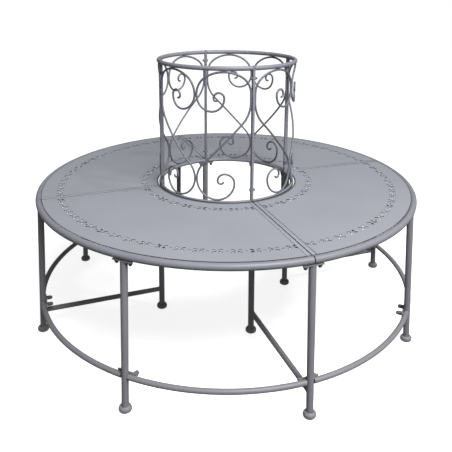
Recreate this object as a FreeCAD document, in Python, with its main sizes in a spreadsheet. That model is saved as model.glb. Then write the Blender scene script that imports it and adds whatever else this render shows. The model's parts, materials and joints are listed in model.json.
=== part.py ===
import FreeCAD, Part
import math
import os
import re

import Sketcher
from FreeCAD import Placement, Rotation, Vector

# A knock-down metal bench that is bolted round a tree trunk. Millimetres, +Z up, and the origin
# is on the floor in the middle of the trunk opening. Four equal quarters meet at seams on the
# X and Y axes. Every piece is drawn with its own middle on local +X and then turned about Z.

QUARTERS = 4
OUTER_LEGS = 8
HEXAGON_SIDES = 6
QUARTER_TURN = 90
# The rod's crown is a half turn in three equal bends
CROWN_TURN = 60
# Bends are laid out in steps of at most so many degrees
BEND_STEP = 45
# Rise over half a chord below which an arc is drawn as a line
STRAIGHT = 1e-5
UP = Vector(0, 0, 1)
DOWN = Rotation(Vector(1, 0, 0), 180)
INWARD = Rotation(Vector(0, 1, 0), -90)
OUTWARD = Rotation(Vector(0, 1, 0), 90)
SIDEWAYS = Rotation(Vector(1, 0, 0), -90)

# Driving dimensions: name, value, meaning
SIZES = [
    ("seat_diameter", 1200, "outside of the seat rim"),
    ("seat_height", 452, "top of the seat rim above the floor"),
    ("trunk_opening", 418, "clear diameter inside the inner rim"),
    ("rim_tube", 20, "outer rim tube, outside diameter"),
    ("inner_rim_tube", 12, "inner rim tube, outside diameter"),
    ("inner_rim_rise", 3, "top of the inner rim above the outer rim"),
    ("tube_wall", 1.5, "wall of every round tube"),
    ("seam_gap", 2.8, "gap between neighbouring quarters"),
    ("weld_gap", 0.15, "joint between two welded or bolted faces"),
    ("sheet_thickness", 1.5, "perforated seat sheet"),
    ("sheet_drop", 1, "sheet top below the rim top"),
    ("sheet_rim_gap", 0.4, "sheet edge to the outer rim"),
    ("sheet_inner_gap", 2, "inner rim to the sheet's inner edge"),
    ("side_bar_width", 11, "bar along each seam"),
    ("side_bar_groove", 0.9, "side bar to the sheet's straight edge"),
    ("mid_bar_width", 11, "bar under the middle of the sheet"),
    ("mid_bar_tab", 3, "thickness of the mid bar's bolted tab"),
    ("mid_bar_tab_length", 48, "length of the mid bar's bolted tab"),
    ("flower_radius", 528.5, "circle of the outer flowers"),
    ("flower_pitch", 4.97, "degrees between the outer flowers"),
    ("flower_count", 18, "outer flowers in a quarter"),
    ("inner_flower_radius", 269, "circle of the inner flowers"),
    ("inner_flower_pitch", 9.75, "degrees between the inner flowers"),
    ("inner_flower_count", 9, "inner flowers in a quarter"),
    ("petal_length", 9.4, "slot petal, over its round ends"),
    ("petal_width", 4, "slot petal"),
    ("petal_reach_across", 8, "petal middle from the flower's middle, along the rim"),
    ("petal_reach_along", 5.4, "petal middle from the flower's middle, along the radius"),
    ("petal_turn", 34, "degrees between a petal and the rim's direction"),
    ("dash_length", 8, "dash between two flowers"),
    ("dash_width", 3.5, "dash between two flowers"),
    ("backrest_height", 834, "top of the backrest rail above the floor"),
    ("rail_tube", 12, "backrest rail, outside diameter"),
    ("rail_diameter", 409, "backrest rail, over its centre line"),
    ("post_width", 11, "flat post, across its broad side"),
    ("post_thickness", 3, "flat post"),
    ("post_gap", 0.4, "between two back-to-back posts"),
    ("post_bolt", 5, "bolt through two posts"),
    ("post_bolt_low", 485, "height of the lower post bolt"),
    ("post_bolt_high", 802, "height of the upper post bolt"),
    ("rod", 6, "scroll rod"),
    ("rod_post_run", 22, "straight length of rod welded to the post"),
    ("crown_first", 52, "bend radius from the post into the upper loop"),
    ("crown_last", 55, "bend radius at the middle side of the upper loop"),
    ("upper_bowl_first", 44, "upper curl, first quarter"),
    ("upper_bowl_second", 36, "upper curl, second quarter"),
    ("upper_curl_first", 15, "upper curl, third quarter"),
    ("upper_curl_second", 15, "upper curl, fourth quarter"),
    ("curl_end", 7, "bend radius of each rod end"),
    ("upper_end_turn", 120, "degrees that the upper end of the rod bends through"),
    ("lower_end_turn", 90, "degrees that the lower end of the rod bends through"),
    ("shoulder", 85, "bend radius from the post into the slope"),
    ("hip", 60, "bend radius from the slope to the middle"),
    ("lower_bowl_first", 60, "lower curl, first quarter"),
    ("lower_bowl_second", 50, "lower curl, second quarter"),
    ("lower_curl_first", 28, "lower curl, third quarter"),
    ("lower_curl_second", 20, "lower curl, fourth quarter"),
    ("lower_curl_third", 9.5, "lower curl, fifth quarter"),
    ("leg_tube", 19, "leg, outside diameter"),
    ("leg_top_radius", 587.5, "outer leg's top from the middle"),
    ("leg_foot_radius", 636, "outer leg's foot from the middle"),
    ("inner_leg_top_radius", 222, "inner leg's top from the middle"),
    ("inner_leg_foot_radius", 238.5, "inner leg's foot from the middle"),
    ("foot_diameter", 35, "leg foot at its widest"),
    ("foot_height", 18.5, "leg foot"),
    ("foot_neck", 22, "leg foot's top round the leg"),
    ("foot_edge", 7, "rounding of the leg foot's lower edge"),
    ("foot_belly", 9, "height where the leg foot starts to draw in"),
    ("foot_dome", 9.5, "rounding of the leg foot's shoulder"),
    ("foot_sole", 4, "thickness of the foot under the leg"),
    ("foot_fit", 0.1, "clearance round the leg in its foot"),
    ("plate_thickness", 3, "leg top plate and ring bracket"),
    ("plate_length", 54, "leg top plate, along the rim"),
    ("plate_margin", 0.5, "leg top plate past the leg"),
    ("plate_stud_edge", 6, "least of a leg top plate behind its studs"),
    ("plate_stud_reach", 19.5, "stud from the middle of an outer leg plate"),
    ("inner_stud_reach", 19, "stud from the middle of an inner leg plate"),
    ("stud", 6, "stud in the seat"),
    ("stud_hole", 6.6, "hole for a seat stud"),
    ("stud_nut_flats", 10, "domed nut of the seat, across flats"),
    ("stud_nut_height", 11, "domed nut of the seat"),
    ("stud_nut_hexagon", 6, "height of its hexagon"),
    ("stud_nut_bore", 6, "depth of its bore"),
    ("ring_height", 106, "lower ring's centre line above the floor"),
    ("ring_tube", 16, "lower ring tube, outside diameter"),
    ("ring_leg_gap", 1.5, "lower ring's ends to the leg"),
    ("bracket_length", 58, "ring bracket, along the ring"),
    ("bracket_height", 17, "ring bracket"),
    ("ring_stud", 7, "stud in the lower ring"),
    ("ring_stud_hole", 7.6, "hole for a ring stud"),
    ("ring_stud_reach", 20, "ring stud from the middle of the leg"),
    ("ring_nut_flats", 13, "domed nut of the ring, across flats"),
    ("ring_nut_height", 17, "domed nut of the ring"),
    ("ring_nut_hexagon", 8, "height of its hexagon"),
    ("ring_nut_bore", 10, "depth of its bore"),
    ("nut_fit", 0.1, "clearance round a stud in its nut"),
    ("nut_tip_gap", 1, "clearance past a stud's end in its nut"),
    ("nut_dome_step", 0.4, "domed nut's dome, in from the flats"),
    ("post_nut_flats", 8, "domed nut and bolt head of the posts, across flats"),
    ("post_nut_height", 8, "domed nut of the posts"),
    ("post_nut_hexagon", 4, "height of its hexagon"),
    ("post_nut_bore", 5, "depth of its bore"),
    ("post_head_height", 3.5, "bolt head of the posts"),
    ("stretcher_height", 76, "stretcher's centre line above the floor"),
    ("stretcher_tube", 16, "stretcher, outside diameter"),
]

os.makedirs("parts", exist_ok=True)
doc = FreeCAD.newDocument("tree_bench")
sheet = doc.addObject("Spreadsheet::Sheet", "Sizes")
for row, (name, number, meaning) in enumerate(SIZES, start=1):
    sheet.set(f"A{row}", str(number))
    sheet.set(f"B{row}", meaning)
    sheet.setAlias(f"A{row}", name)
doc.recompute()
NAMES = {name for name, number, meaning in SIZES}

# Derived sizes, as expressions of the driving ones
RIM_RADIUS = "(seat_diameter / 2 - rim_tube / 2)"
RIM_LEVEL = "(seat_height - rim_tube / 2)"
INNER_RADIUS = "(trunk_opening / 2 + inner_rim_tube / 2)"
INNER_LEVEL = "(seat_height + inner_rim_rise - inner_rim_tube / 2)"
INNER_BOTTOM = f"({INNER_LEVEL} - inner_rim_tube / 2)"
SHEET_TOP = "(seat_height - sheet_drop)"
SHEET_BOTTOM = f"({SHEET_TOP} - sheet_thickness)"
RIM_HALF_AT_SHEET = f"sqrt((rim_tube / 2) ^ 2 - ({SHEET_BOTTOM} - {RIM_LEVEL}) ^ 2)"
SHEET_OUTER = f"({RIM_RADIUS} - {RIM_HALF_AT_SHEET} - sheet_rim_gap)"
SHEET_INNER = f"({INNER_RADIUS} + inner_rim_tube / 2 + sheet_inner_gap)"
SHEET_EDGE = "(seam_gap / 2 + side_bar_width + side_bar_groove)"
RAIL_RADIUS = "(rail_diameter / 2)"
RAIL_LEVEL = "(backrest_height - rail_tube / 2)"
CONE_SLOPE = f"(({INNER_RADIUS} - {RAIL_RADIUS}) / ({RAIL_LEVEL} - {INNER_LEVEL}))"
POST_OUTER = "(post_gap / 2 + post_thickness)"
OUTER_PLATE_BOTTOM = "(seat_height - rim_tube - weld_gap - plate_thickness)"
INNER_PLATE_BOTTOM = f"({INNER_BOTTOM} - weld_gap - plate_thickness)"
MID_TAB_BOTTOM = f"({INNER_BOTTOM} - weld_gap - mid_bar_tab)"
OUTER_LEG_TOP = f"({OUTER_PLATE_BOTTOM} - weld_gap)"
INNER_LEG_TOP = f"({INNER_PLATE_BOTTOM} - weld_gap)"
LEG_LEAN = f"((leg_foot_radius - leg_top_radius) / {OUTER_LEG_TOP})"
INNER_LEG_LEAN = f"((inner_leg_foot_radius - inner_leg_top_radius) / {INNER_LEG_TOP})"
BRACKET_OUTER = f"(leg_foot_radius - {LEG_LEAN} * ring_height - leg_tube / 2 - weld_gap)"
RING_INSIDE = f"(sqrt(({BRACKET_OUTER} + weld_gap) ^ 2 + (bracket_length / 2) ^ 2))"
RING_RADIUS = f"({RING_INSIDE} + ring_tube / 2)"


def bound(text):
    """An expression with each driving dimension read from the sheet."""
    return re.sub(r"\b[a-z][a-z_]*\b", lambda word: "Sizes." + word.group()
                  if word.group() in NAMES else word.group(), text)


def value(text):
    """What an expression of the driving dimensions comes to now."""
    result = sheet.evalExpression(bound(text))
    return float(getattr(result, "Value", result))


def cone_radius(level):
    """Radius of the backrest's leaning surface at a height."""
    return f"({INNER_RADIUS} - {CONE_SLOPE} * ({level} - {INNER_LEVEL}))"


def turned(azimuth):
    """A turn about the bench's own axis."""
    return Placement(Vector(), Rotation(UP, azimuth))


def put(piece, azimuth, along, across, level, lie=None):
    """Set a piece at a radius, a sideways reach and a height, and turn it about the axis."""
    piece.Placement = Placement(Vector(), Rotation(UP, azimuth) * (lie or Rotation()))
    turn = f"({azimuth} * 1 deg)"
    piece.setExpression("Placement.Base.x", bound(f"cos{turn} * ({along}) - sin{turn} * ({across})"))
    piece.setExpression("Placement.Base.y", bound(f"sin{turn} * ({along}) + cos{turn} * ({across})"))
    piece.setExpression("Placement.Base.z", bound(level))


def new_body(name, azimuth=0):
    body = doc.addObject("PartDesign::Body", name)
    body.Label = name
    body.Placement = turned(azimuth)
    return body


def origin_part(body, role):
    return next(part for part in body.Origin.OriginFeatures if part.Role == role)


def new_sketch(body, name, plane="XY_Plane", level=None):
    """A sketch on one of the body's own planes, lifted to a level where one is given."""
    sketch = body.newObject("Sketcher::SketchObject", name)
    sketch.AttachmentSupport = [(origin_part(body, plane), "")]
    sketch.MapMode = "FlatFace"
    if level is not None:
        sketch.setExpression("AttachmentOffset.Base.z", bound(level))
    return sketch


def pin(sketch, index, position, across, up):
    """Hold a point of a sketch at two bound distances from the sketch's origin."""
    for kind, text in (("DistanceX", across), ("DistanceY", up)):
        rule = Sketcher.Constraint(kind, -1, 1, index, position, value(text))
        number = sketch.addConstraint(rule)
        sketch.setExpression(f"Constraints[{number}]", bound(text))


def hold_radius(sketch, index, radius):
    number = sketch.addConstraint(Sketcher.Constraint("Radius", index, value(radius)))
    sketch.setExpression(f"Constraints[{number}]", bound(radius))


def circle(sketch, across, up, radius):
    shape = Part.Circle(Vector(value(across), value(up), 0), UP, value(radius))
    index = sketch.addGeometry(shape)
    pin(sketch, index, 3, across, up)
    hold_radius(sketch, index, radius)


def bulge_arc(start, end, radius):
    """The short arc between two points that runs counterclockwise."""
    chord = end - start
    normal = Vector(chord.y, -chord.x, 0).normalize()
    rise = radius - math.sqrt(radius ** 2 - (chord.Length / 2) ** 2)
    return Part.Arc(start, (start + end) / 2 + normal * rise, end)


def outline(sketch, corners):
    """A closed outline through pinned corners.

    A corner may open an arc, given as its radius and 1 for counterclockwise or -1 for clockwise.
    """
    points = [Vector(value(across), value(up), 0) for across, up, arc in corners]
    count = len(corners)
    ends = []
    for step, (across, up, arc) in enumerate(corners):
        start = points[step]
        end = points[(step + 1) % count]
        if arc is None:
            index = sketch.addGeometry(Part.LineSegment(start, end))
            ends.append((index, 1, 2))
            continue
        radius, side = arc
        low, high = (start, end) if side == 1 else (end, start)
        index = sketch.addGeometry(bulge_arc(low, high, value(radius)))
        ends.append((index, 1, 2) if side == 1 else (index, 2, 1))
        hold_radius(sketch, index, radius)
    for step in range(count):
        index, head, tail = ends[step]
        after, after_head, after_tail = ends[(step + 1) % count]
        sketch.addConstraint(Sketcher.Constraint("Coincident", index, tail, after, after_head))
        pin(sketch, index, head, corners[step][0], corners[step][1])


def slot(sketch, across, up, turn, length, width):
    """A slot with round ends about a middle point, turned from the sketch's X axis."""
    reach = f"(({length} - {width}) / 2)"
    angle = math.radians(value(turn))
    way = Vector(math.cos(angle), math.sin(angle), 0)
    normal = Vector(-way.y, way.x, 0)
    half = value(f"{width} / 2")
    middle = Vector(value(across), value(up), 0)
    near = middle - way * value(reach)
    far = middle + way * value(reach)
    cap_far = sketch.addGeometry(Part.Arc(far - normal * half, far + way * half, far + normal * half))
    side_up = sketch.addGeometry(Part.LineSegment(far + normal * half, near + normal * half))
    cap_near = sketch.addGeometry(Part.Arc(near + normal * half, near - way * half, near - normal * half))
    side_down = sketch.addGeometry(Part.LineSegment(near - normal * half, far - normal * half))
    ring = (cap_far, side_up, cap_near, side_down, cap_far)
    for one, other in zip(ring, ring[1:]):
        sketch.addConstraint(Sketcher.Constraint("Tangent", one, 2, other, 1))
    for cap, sign in ((cap_far, "+"), (cap_near, "-")):
        hold_radius(sketch, cap, f"{width} / 2")
        pin(sketch, cap, 3, f"{across} {sign} {reach} * cos({turn} * 1 deg)",
            f"{up} {sign} {reach} * sin({turn} * 1 deg)")


def add_pad(body, sketch, length, lean=None, midplane=False):
    """Pad a sketch by a bound length, leaning towards the axis by lean per millimetre."""
    pad = body.newObject("PartDesign::Pad", sketch.Name + "_pad")
    pad.Profile = sketch
    pad.Midplane = midplane
    pad.setExpression("Length", bound(length))
    if lean is not None:
        pad.UseCustomVector = True
        pad.AlongSketchNormal = True
        pad.Direction = Vector(-value(lean), 0, 1)
        pad.setExpression("Direction.x", bound(f"-{lean}"))
    sketch.Visibility = False
    return pad


def add_pocket(body, sketch, length=None, both_ways=False, reverse=False):
    """Cut a sketch through the solid, or to a bound length."""
    pocket = body.newObject("PartDesign::Pocket", sketch.Name + "_pocket")
    pocket.Profile = sketch
    pocket.Reversed = reverse
    pocket.Midplane = both_ways
    if length is None:
        pocket.Type = "ThroughAll"
    else:
        pocket.setExpression("Length", bound(length))
    sketch.Visibility = False
    return pocket


def add_revolution(body, sketch, angle):
    """Turn a sketch about the body's upright axis, evenly to both sides."""
    revolution = body.newObject("PartDesign::Revolution", sketch.Name + "_revolution")
    revolution.Profile = sketch
    revolution.ReferenceAxis = (origin_part(body, "Z_Axis"), [""])
    revolution.Midplane = True
    revolution.setExpression("Angle", bound(angle))
    return revolution


def add_pattern(body, feature, count, angle):
    """Repeat a cut about the bench's axis over an angle."""
    pattern = body.newObject("PartDesign::PolarPattern", feature.Name + "_pattern")
    pattern.Originals = [feature]
    pattern.Axis = (origin_part(body, "Z_Axis"), [""])
    pattern.setExpression("Occurrences", bound(count))
    pattern.setExpression("Angle", bound(angle))
    body.Tip = pattern
    return pattern


def tube_arc(name, azimuth, radius, level, diameter, half_turn):
    """A round tube bent to an arc about the bench's axis, its middle at the azimuth."""
    body = new_body(name, azimuth)
    section = new_sketch(body, name + "_section", "XZ_Plane")
    circle(section, radius, level, f"{diameter} / 2")
    circle(section, radius, level, f"({diameter} / 2 - tube_wall)")
    add_revolution(body, section, f"2 * {half_turn}")
    return body


def seam_point(radius, reach, side):
    """Point on a circle at a sideways reach from a seam, in the frame of the quarter's middle."""
    along = f"sqrt({radius} ^ 2 - {reach} ^ 2)"
    turn = f"({side * 180 / QUARTERS} * 1 deg)"
    back = f"({-side} * {reach})"
    return (f"(cos{turn} * {along} - sin{turn} * {back})", f"(sin{turn} * {along} + cos{turn} * {back})")


def group(name, members):
    """Several separate solids under one name."""
    compound = doc.addObject("Part::Compound", name)
    compound.Label = name
    compound.Links = members
    return compound


def again(name, master, azimuth):
    """The same piece in its own place, turned about the axis from where the first one is."""
    link = doc.addObject("App::Link", name)
    link.Label = name
    link.LinkedObject = master
    link.LinkTransform = True
    link.Placement = turned(azimuth)
    return link


def round_about(master, azimuths):
    """Identical pieces all round the bench."""
    return [again(f"{master.Label}_{number}", master, azimuth)
            for number, azimuth in enumerate(azimuths, start=1)]


def copy_at(master, azimuth, along, across, level, lie):
    """An identical fastener at its own place."""
    link = doc.addObject("App::Link", master.Label + "_copy")
    link.LinkedObject = master
    put(link, azimuth, along, across, level, lie)
    return link


# Seat: perforated sheet

def seat_panel(name, azimuth):
    body = new_body(name, azimuth)
    plan = new_sketch(body, name + "_plan", level=SHEET_BOTTOM)
    outer = [seam_point(SHEET_OUTER, SHEET_EDGE, side) for side in (-1, 1)]
    inner = [seam_point(SHEET_INNER, SHEET_EDGE, side) for side in (1, -1)]
    outline(plan, [(*outer[0], (SHEET_OUTER, 1)), (*outer[1], None),
                   (*inner[0], (SHEET_INNER, -1)), (*inner[1], None)])
    add_pad(body, plan, "sheet_thickness")
    rows = (("outer", "flower_radius", "flower_pitch", "flower_count"),
            ("inner", "inner_flower_radius", "inner_flower_pitch", "inner_flower_count"))
    for row_name, radius, pitch, count in rows:
        flower = new_sketch(body, f"{name}_{row_name}_flower", level=SHEET_BOTTOM)
        start = f"(-({count} - 1) / 2 * {pitch} * 1 deg)"
        flower.setExpression("AttachmentOffset.Rotation.Angle", bound(start))
        for along in (-1, 1):
            for across in (-1, 1):
                slot(flower, f"({radius} + {along} * petal_reach_along)",
                     f"({across} * petal_reach_across)", f"({across * along} * (90 - petal_turn))",
                     "petal_length", "petal_width")
        cut = add_pocket(body, flower, reverse=True)
        add_pattern(body, cut, count, f"({count} - 1) * {pitch} * 1 deg")
        dash = new_sketch(body, f"{name}_{row_name}_dash", level=SHEET_BOTTOM)
        start = f"(-({count} - 2) / 2 * {pitch} * 1 deg)"
        dash.setExpression("AttachmentOffset.Rotation.Angle", bound(start))
        slot(dash, radius, "0", "90", "dash_length", "dash_width")
        cut = add_pocket(body, dash, reverse=True)
        add_pattern(body, cut, f"{count} - 1", f"({count} - 2) * {pitch} * 1 deg")
    return body


# Seat: rims with their stud holes

def drill_up(body, name, holes, level, depth):
    """Holes from below through the lower wall of a rim tube."""
    sketch = new_sketch(body, name, level=level)
    for along, across in holes:
        circle(sketch, along, across, "stud_hole / 2")
    add_pocket(body, sketch, depth, reverse=True)


def seat_outer_rim(name, azimuth):
    body = tube_arc(name, azimuth, RIM_RADIUS, RIM_LEVEL, "rim_tube",
                    f"({180 / QUARTERS} deg - asin(seam_gap / 2 / {RIM_RADIUS}))")
    holes = [seam_point(RIM_RADIUS, "plate_stud_reach", side) for side in (-1, 1)]
    for side in (-1, 1):
        holes.append((f"sqrt({RIM_RADIUS} ^ 2 - plate_stud_reach ^ 2)", f"({side} * plate_stud_reach)"))
    drill_up(body, name + "_holes", holes, f"({RIM_LEVEL} - rim_tube)", "rim_tube")
    return body


def seat_inner_rim(name, azimuth):
    body = tube_arc(name, azimuth, INNER_RADIUS, INNER_LEVEL, "inner_rim_tube",
                    f"({180 / QUARTERS} deg - asin(({POST_OUTER} + weld_gap) / {INNER_RADIUS}))")
    holes = [seam_point(INNER_RADIUS, "inner_stud_reach", side) for side in (-1, 1)]
    holes.append((INNER_RADIUS, "0"))
    drill_up(body, name + "_holes", holes, f"({INNER_LEVEL} - inner_rim_tube)", "inner_rim_tube")
    return body


# Seat: bars

def seat_side_bar(name, seam, side):
    """Bar beside a seam, coped to the outer rim; side 1 is the bar past the seam."""
    bar = doc.addObject("Part::Box", name + "_blank")
    start = f"({INNER_RADIUS} + inner_rim_tube / 2 + weld_gap)"
    bar.setExpression("Length", bound(f"{RIM_RADIUS} - {start}"))
    bar.setExpression("Width", bound("side_bar_width"))
    bar.setExpression("Height", bound(f"{SHEET_TOP} - {INNER_BOTTOM}"))
    edge = "seam_gap / 2" if side == 1 else "-seam_gap / 2 - side_bar_width"
    put(bar, seam, start, edge, INNER_BOTTOM)
    cope = doc.addObject("Part::Torus", name + "_cope")
    cope.setExpression("Radius1", bound(RIM_RADIUS))
    cope.setExpression("Radius2", bound("rim_tube / 2 + weld_gap"))
    cope.setExpression("Placement.Base.z", bound(RIM_LEVEL))
    cut = doc.addObject("Part::Cut", name)
    cut.Base = bar
    cut.Tool = cope
    return cut


def seat_mid_bar(name):
    """Bar under the middle of a sheet, with a thin tab bolted under the inner rim."""
    body = new_body(name)
    side = new_sketch(body, name + "_side", "XZ_Plane")
    end = f"({RIM_RADIUS} - rim_tube / 2 - weld_gap)"
    tab_end = f"({INNER_RADIUS} - inner_rim_tube / 2)"
    step = f"({INNER_RADIUS} + inner_rim_tube / 2 + weld_gap)"
    tab_top = f"({INNER_BOTTOM} - weld_gap)"
    top = f"({SHEET_BOTTOM} - weld_gap)"
    tab_far = f"({tab_end} + mid_bar_tab_length)"
    outline(side, [(tab_end, MID_TAB_BOTTOM, None), (tab_far, MID_TAB_BOTTOM, None),
                   (tab_far, tab_top, None), (end, tab_top, None), (end, top, None),
                   (step, top, None), (step, tab_top, None), (tab_end, tab_top, None)])
    add_pad(body, side, "mid_bar_width", midplane=True)
    hole = new_sketch(body, name + "_hole", level=MID_TAB_BOTTOM)
    circle(hole, INNER_RADIUS, "0", "stud_hole / 2")
    add_pocket(body, hole, reverse=True)
    return body


# Backrest: rail, posts and scroll rods

def backrest_top_rail(name, azimuth):
    return tube_arc(name, azimuth, RAIL_RADIUS, RAIL_LEVEL, "rail_tube",
                    f"({180 / QUARTERS} deg - asin(({POST_OUTER} + weld_gap) / {RAIL_RADIUS}))")


def backrest_post(name, seam, side):
    """Flat post on one side of a seam, leaning with the backrest."""
    body = new_body(name, seam)
    foot = new_sketch(body, name + "_foot", level=INNER_BOTTOM)
    near = f"({cone_radius(INNER_BOTTOM)} - post_width / 2)"
    far = f"({cone_radius(INNER_BOTTOM)} + post_width / 2)"
    face = f"({side} * post_gap / 2)"
    back = f"({side} * {POST_OUTER})"
    outline(foot, [(near, face, None), (far, face, None), (far, back, None), (near, back, None)])
    add_pad(body, foot, f"backrest_height - {INNER_BOTTOM}", lean=CONE_SLOPE)
    holes = new_sketch(body, name + "_holes", "XZ_Plane")
    for level in ("post_bolt_low", "post_bolt_high"):
        circle(holes, cone_radius(level), level, "(post_bolt / 2 + nut_fit)")
    add_pocket(body, holes, both_ways=True)
    return body


def walk(start, heading, moves):
    """Places and headings along bends and straight runs laid end to end.

    A move is a bend's radius and its turn in degrees, positive to the left, or a run's length and 0.
    """
    point = Vector(*start, 0)
    stations = [(point, heading)]
    for size, turn in moves:
        if turn == 0:
            point = point + Vector(math.cos(heading), math.sin(heading), 0) * size
            stations.append((point, heading))
            continue
        side = math.copysign(1, turn)
        centre = point + Vector(-math.sin(heading), math.cos(heading), 0) * size * side
        pieces = math.ceil(round(abs(turn) / BEND_STEP, 6))
        for step in range(1, pieces + 1):
            angle = heading + math.radians(turn) * step / pieces
            spoke = Vector(math.sin(angle), -math.cos(angle), 0) * size * side
            stations.append((centre + spoke, angle))
        point, heading = stations[-1]
    return stations


def scroll_path():
    """The rod's centre line on the flattened backrest, from its upper end to its lower end.

    Across is measured from the middle of the quarter, up is the height above the floor.
    """
    flat = value(f"({INNER_RADIUS} + {RAIL_RADIUS}) / 2")
    gap = value("rod / 2 + weld_gap")
    seam_angle = math.pi / QUARTERS
    across_post = flat * (seam_angle - math.asin((value(POST_OUTER) + gap) / value(RAIL_RADIUS)))
    top = value(f"{RAIL_LEVEL} - rail_tube / 2") - gap
    bottom = value(f"{INNER_LEVEL} + inner_rim_tube / 2") + gap
    first = value("crown_first")
    last = value("crown_last")
    crown = across_post - gap - (first + last) * (1 - math.cos(math.radians(CROWN_TURN)))
    rise = math.sin(math.radians(CROWN_TURN))
    weld_top = top - first * rise - crown * (1 - rise)
    curl = ("upper_bowl_first", "upper_bowl_second", "upper_curl_first", "upper_curl_second")
    moves = [(bend, CROWN_TURN) for bend in (first, crown, last)]
    moves += [(value(bend), QUARTER_TURN) for bend in curl]
    moves.append((value("curl_end"), value("upper_end_turn")))
    upper = walk((across_post, weld_top), math.pi / 2, moves)

    weld_bottom = weld_top - value("rod_post_run")
    shoulder = value("shoulder")
    hip = value("hip")
    hip_level = bottom + value("lower_bowl_first")
    reach = Vector(gap + hip - (across_post - shoulder), hip_level - weld_bottom, 0)
    aim = math.atan2(reach.y, reach.x) - math.asin((shoulder + hip) / reach.Length)
    swing = math.degrees(aim + math.pi / 2)
    slope = math.sqrt(reach.Length ** 2 - (shoulder + hip) ** 2)
    curl = ("lower_bowl_first", "lower_bowl_second", "lower_curl_first", "lower_curl_second",
            "lower_curl_third")
    moves = [(shoulder, swing), (slope / 2, 0), (slope / 2, 0), (hip, -swing)]
    moves += [(value(bend), QUARTER_TURN) for bend in curl]
    moves.append((value("curl_end"), value("lower_end_turn")))
    lower = walk((across_post, weld_bottom), -math.pi / 2, moves)
    backwards = [(point, heading + math.pi) for point, heading in reversed(upper)]
    return flat, backwards + lower


def on_cone(flat, point, heading, mirror):
    """A place and a direction of the flattened backrest, rolled up onto its leaning surface."""
    slope = value(CONE_SLOPE)
    radius = value(INNER_RADIUS) - slope * (point.y - value(INNER_LEVEL))
    angle = mirror * point.x / flat
    radial = Vector(math.cos(angle), math.sin(angle), 0)
    around = Vector(-math.sin(angle), math.cos(angle), 0)
    place = radial * radius + UP * point.y
    way = around * (mirror * radius / flat * math.cos(heading))
    way = way + (UP - radial * slope) * math.sin(heading)
    return place, way.normalize()


def arc_between(start, corner, end):
    """The arc that leaves start towards corner and reaches end, or a line where it is straight."""
    middle = (start + end) / 2
    half = (end - start).Length / 2
    rise = (corner - middle).Length
    if rise < STRAIGHT * half:
        return Part.LineSegment(start, end).toShape()
    turn = math.atan2(rise, half)
    through = middle + (corner - middle) * (math.tan(turn / 2) / math.tan(turn))
    return Part.Arc(start, through, end).toShape()


def biarc(start, leave, end, arrive):
    """Two arcs that join two places smoothly in the given directions."""
    chord = end - start
    both = leave + arrive
    square = 2 * (1 - leave.dot(arrive))
    if square < STRAIGHT ** 2:
        reach = chord.dot(chord) / (2 * chord.dot(both))
    else:
        along = chord.dot(both)
        reach = (math.sqrt(along ** 2 + square * chord.dot(chord)) - along) / square
    first = start + leave * reach
    second = end - arrive * reach
    join = (first + second) / 2
    return [arc_between(start, first, join), arc_between(join, second, end)]


def scroll_rod(mirror):
    """A bent round rod on the backrest's leaning surface, with its length and volume."""
    flat, path = scroll_path()
    stations = [on_cone(flat, point, heading, mirror) for point, heading in path]
    edges = []
    for (start, leave), (end, arrive) in zip(stations, stations[1:]):
        edges.extend(biarc(start, leave, end, arrive))
    wire = Part.Wire(edges)
    radius = value("rod / 2")
    section = Part.Wire([Part.Circle(stations[0][0], stations[0][1], radius).toShape()])
    rod = wire.makePipeShell([section], True, False)
    rod_length = wire.Length
    print("scroll rod length", round(rod_length, 1), "volume over section times length",
          round(rod.Volume / (math.pi * radius ** 2 * rod_length), 4))
    return rod


def backrest_scrolls(name, azimuth):
    piece = doc.addObject("Part::Feature", name)
    piece.Label = name
    piece.Shape = Part.makeCompound([scroll_rod(mirror) for mirror in (1, -1)])
    piece.Placement = turned(azimuth)
    return piece


# Legs, feet and leg top plates

def leg_blank(body, name, radii, foot_radius, lean, base, top):
    """A leaning round bar between two heights, or a tube where a bore's radius follows."""
    foot = new_sketch(body, name, level=base)
    for radius in radii:
        circle(foot, f"({foot_radius} - {lean} * {base})", "0", radius)
    add_pad(body, foot, f"{top} - {base}", lean=lean)


def leg(name, azimuth, foot_radius, lean, top):
    body = new_body(name, azimuth)
    sizes = ("leg_tube / 2", "(leg_tube / 2 - tube_wall)")
    leg_blank(body, name + "_tube", sizes, foot_radius, lean, "foot_sole", top)
    return body


def leg_foot(name, foot_radius, lean):
    """A round foot, like a flattened ball, that the leg stands in."""
    body = new_body(name + "_ball")
    side = new_sketch(body, name + "_profile", "XZ_Plane")
    wide = "(foot_diameter / 2)"
    neck = "(foot_neck / 2)"
    collar = f"(foot_belly + sqrt(foot_dome ^ 2 - (foot_dome - {wide} + {neck}) ^ 2))"
    outline(side, [("0", "0", None), (f"({wide} - foot_edge)", "0", ("foot_edge", 1)),
                   (wide, "foot_edge", None), (wide, "foot_belly", ("foot_dome", 1)),
                   (neck, collar, None), (neck, "foot_height", None), ("0", "foot_height", None)])
    add_revolution(body, side, "360 deg")
    put(body, 0, f"({foot_radius} - {lean} * foot_height / 2)", "0", "0")
    bore = new_body(name + "_bore")
    leg_blank(bore, name + "_bore_plan", ["(leg_tube / 2 + foot_fit)"], foot_radius, lean,
              "(foot_sole - foot_fit)", "(foot_height + foot_sole)")
    cut = doc.addObject("Part::Cut", name)
    cut.Base = body
    cut.Tool = bore
    return cut


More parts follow.
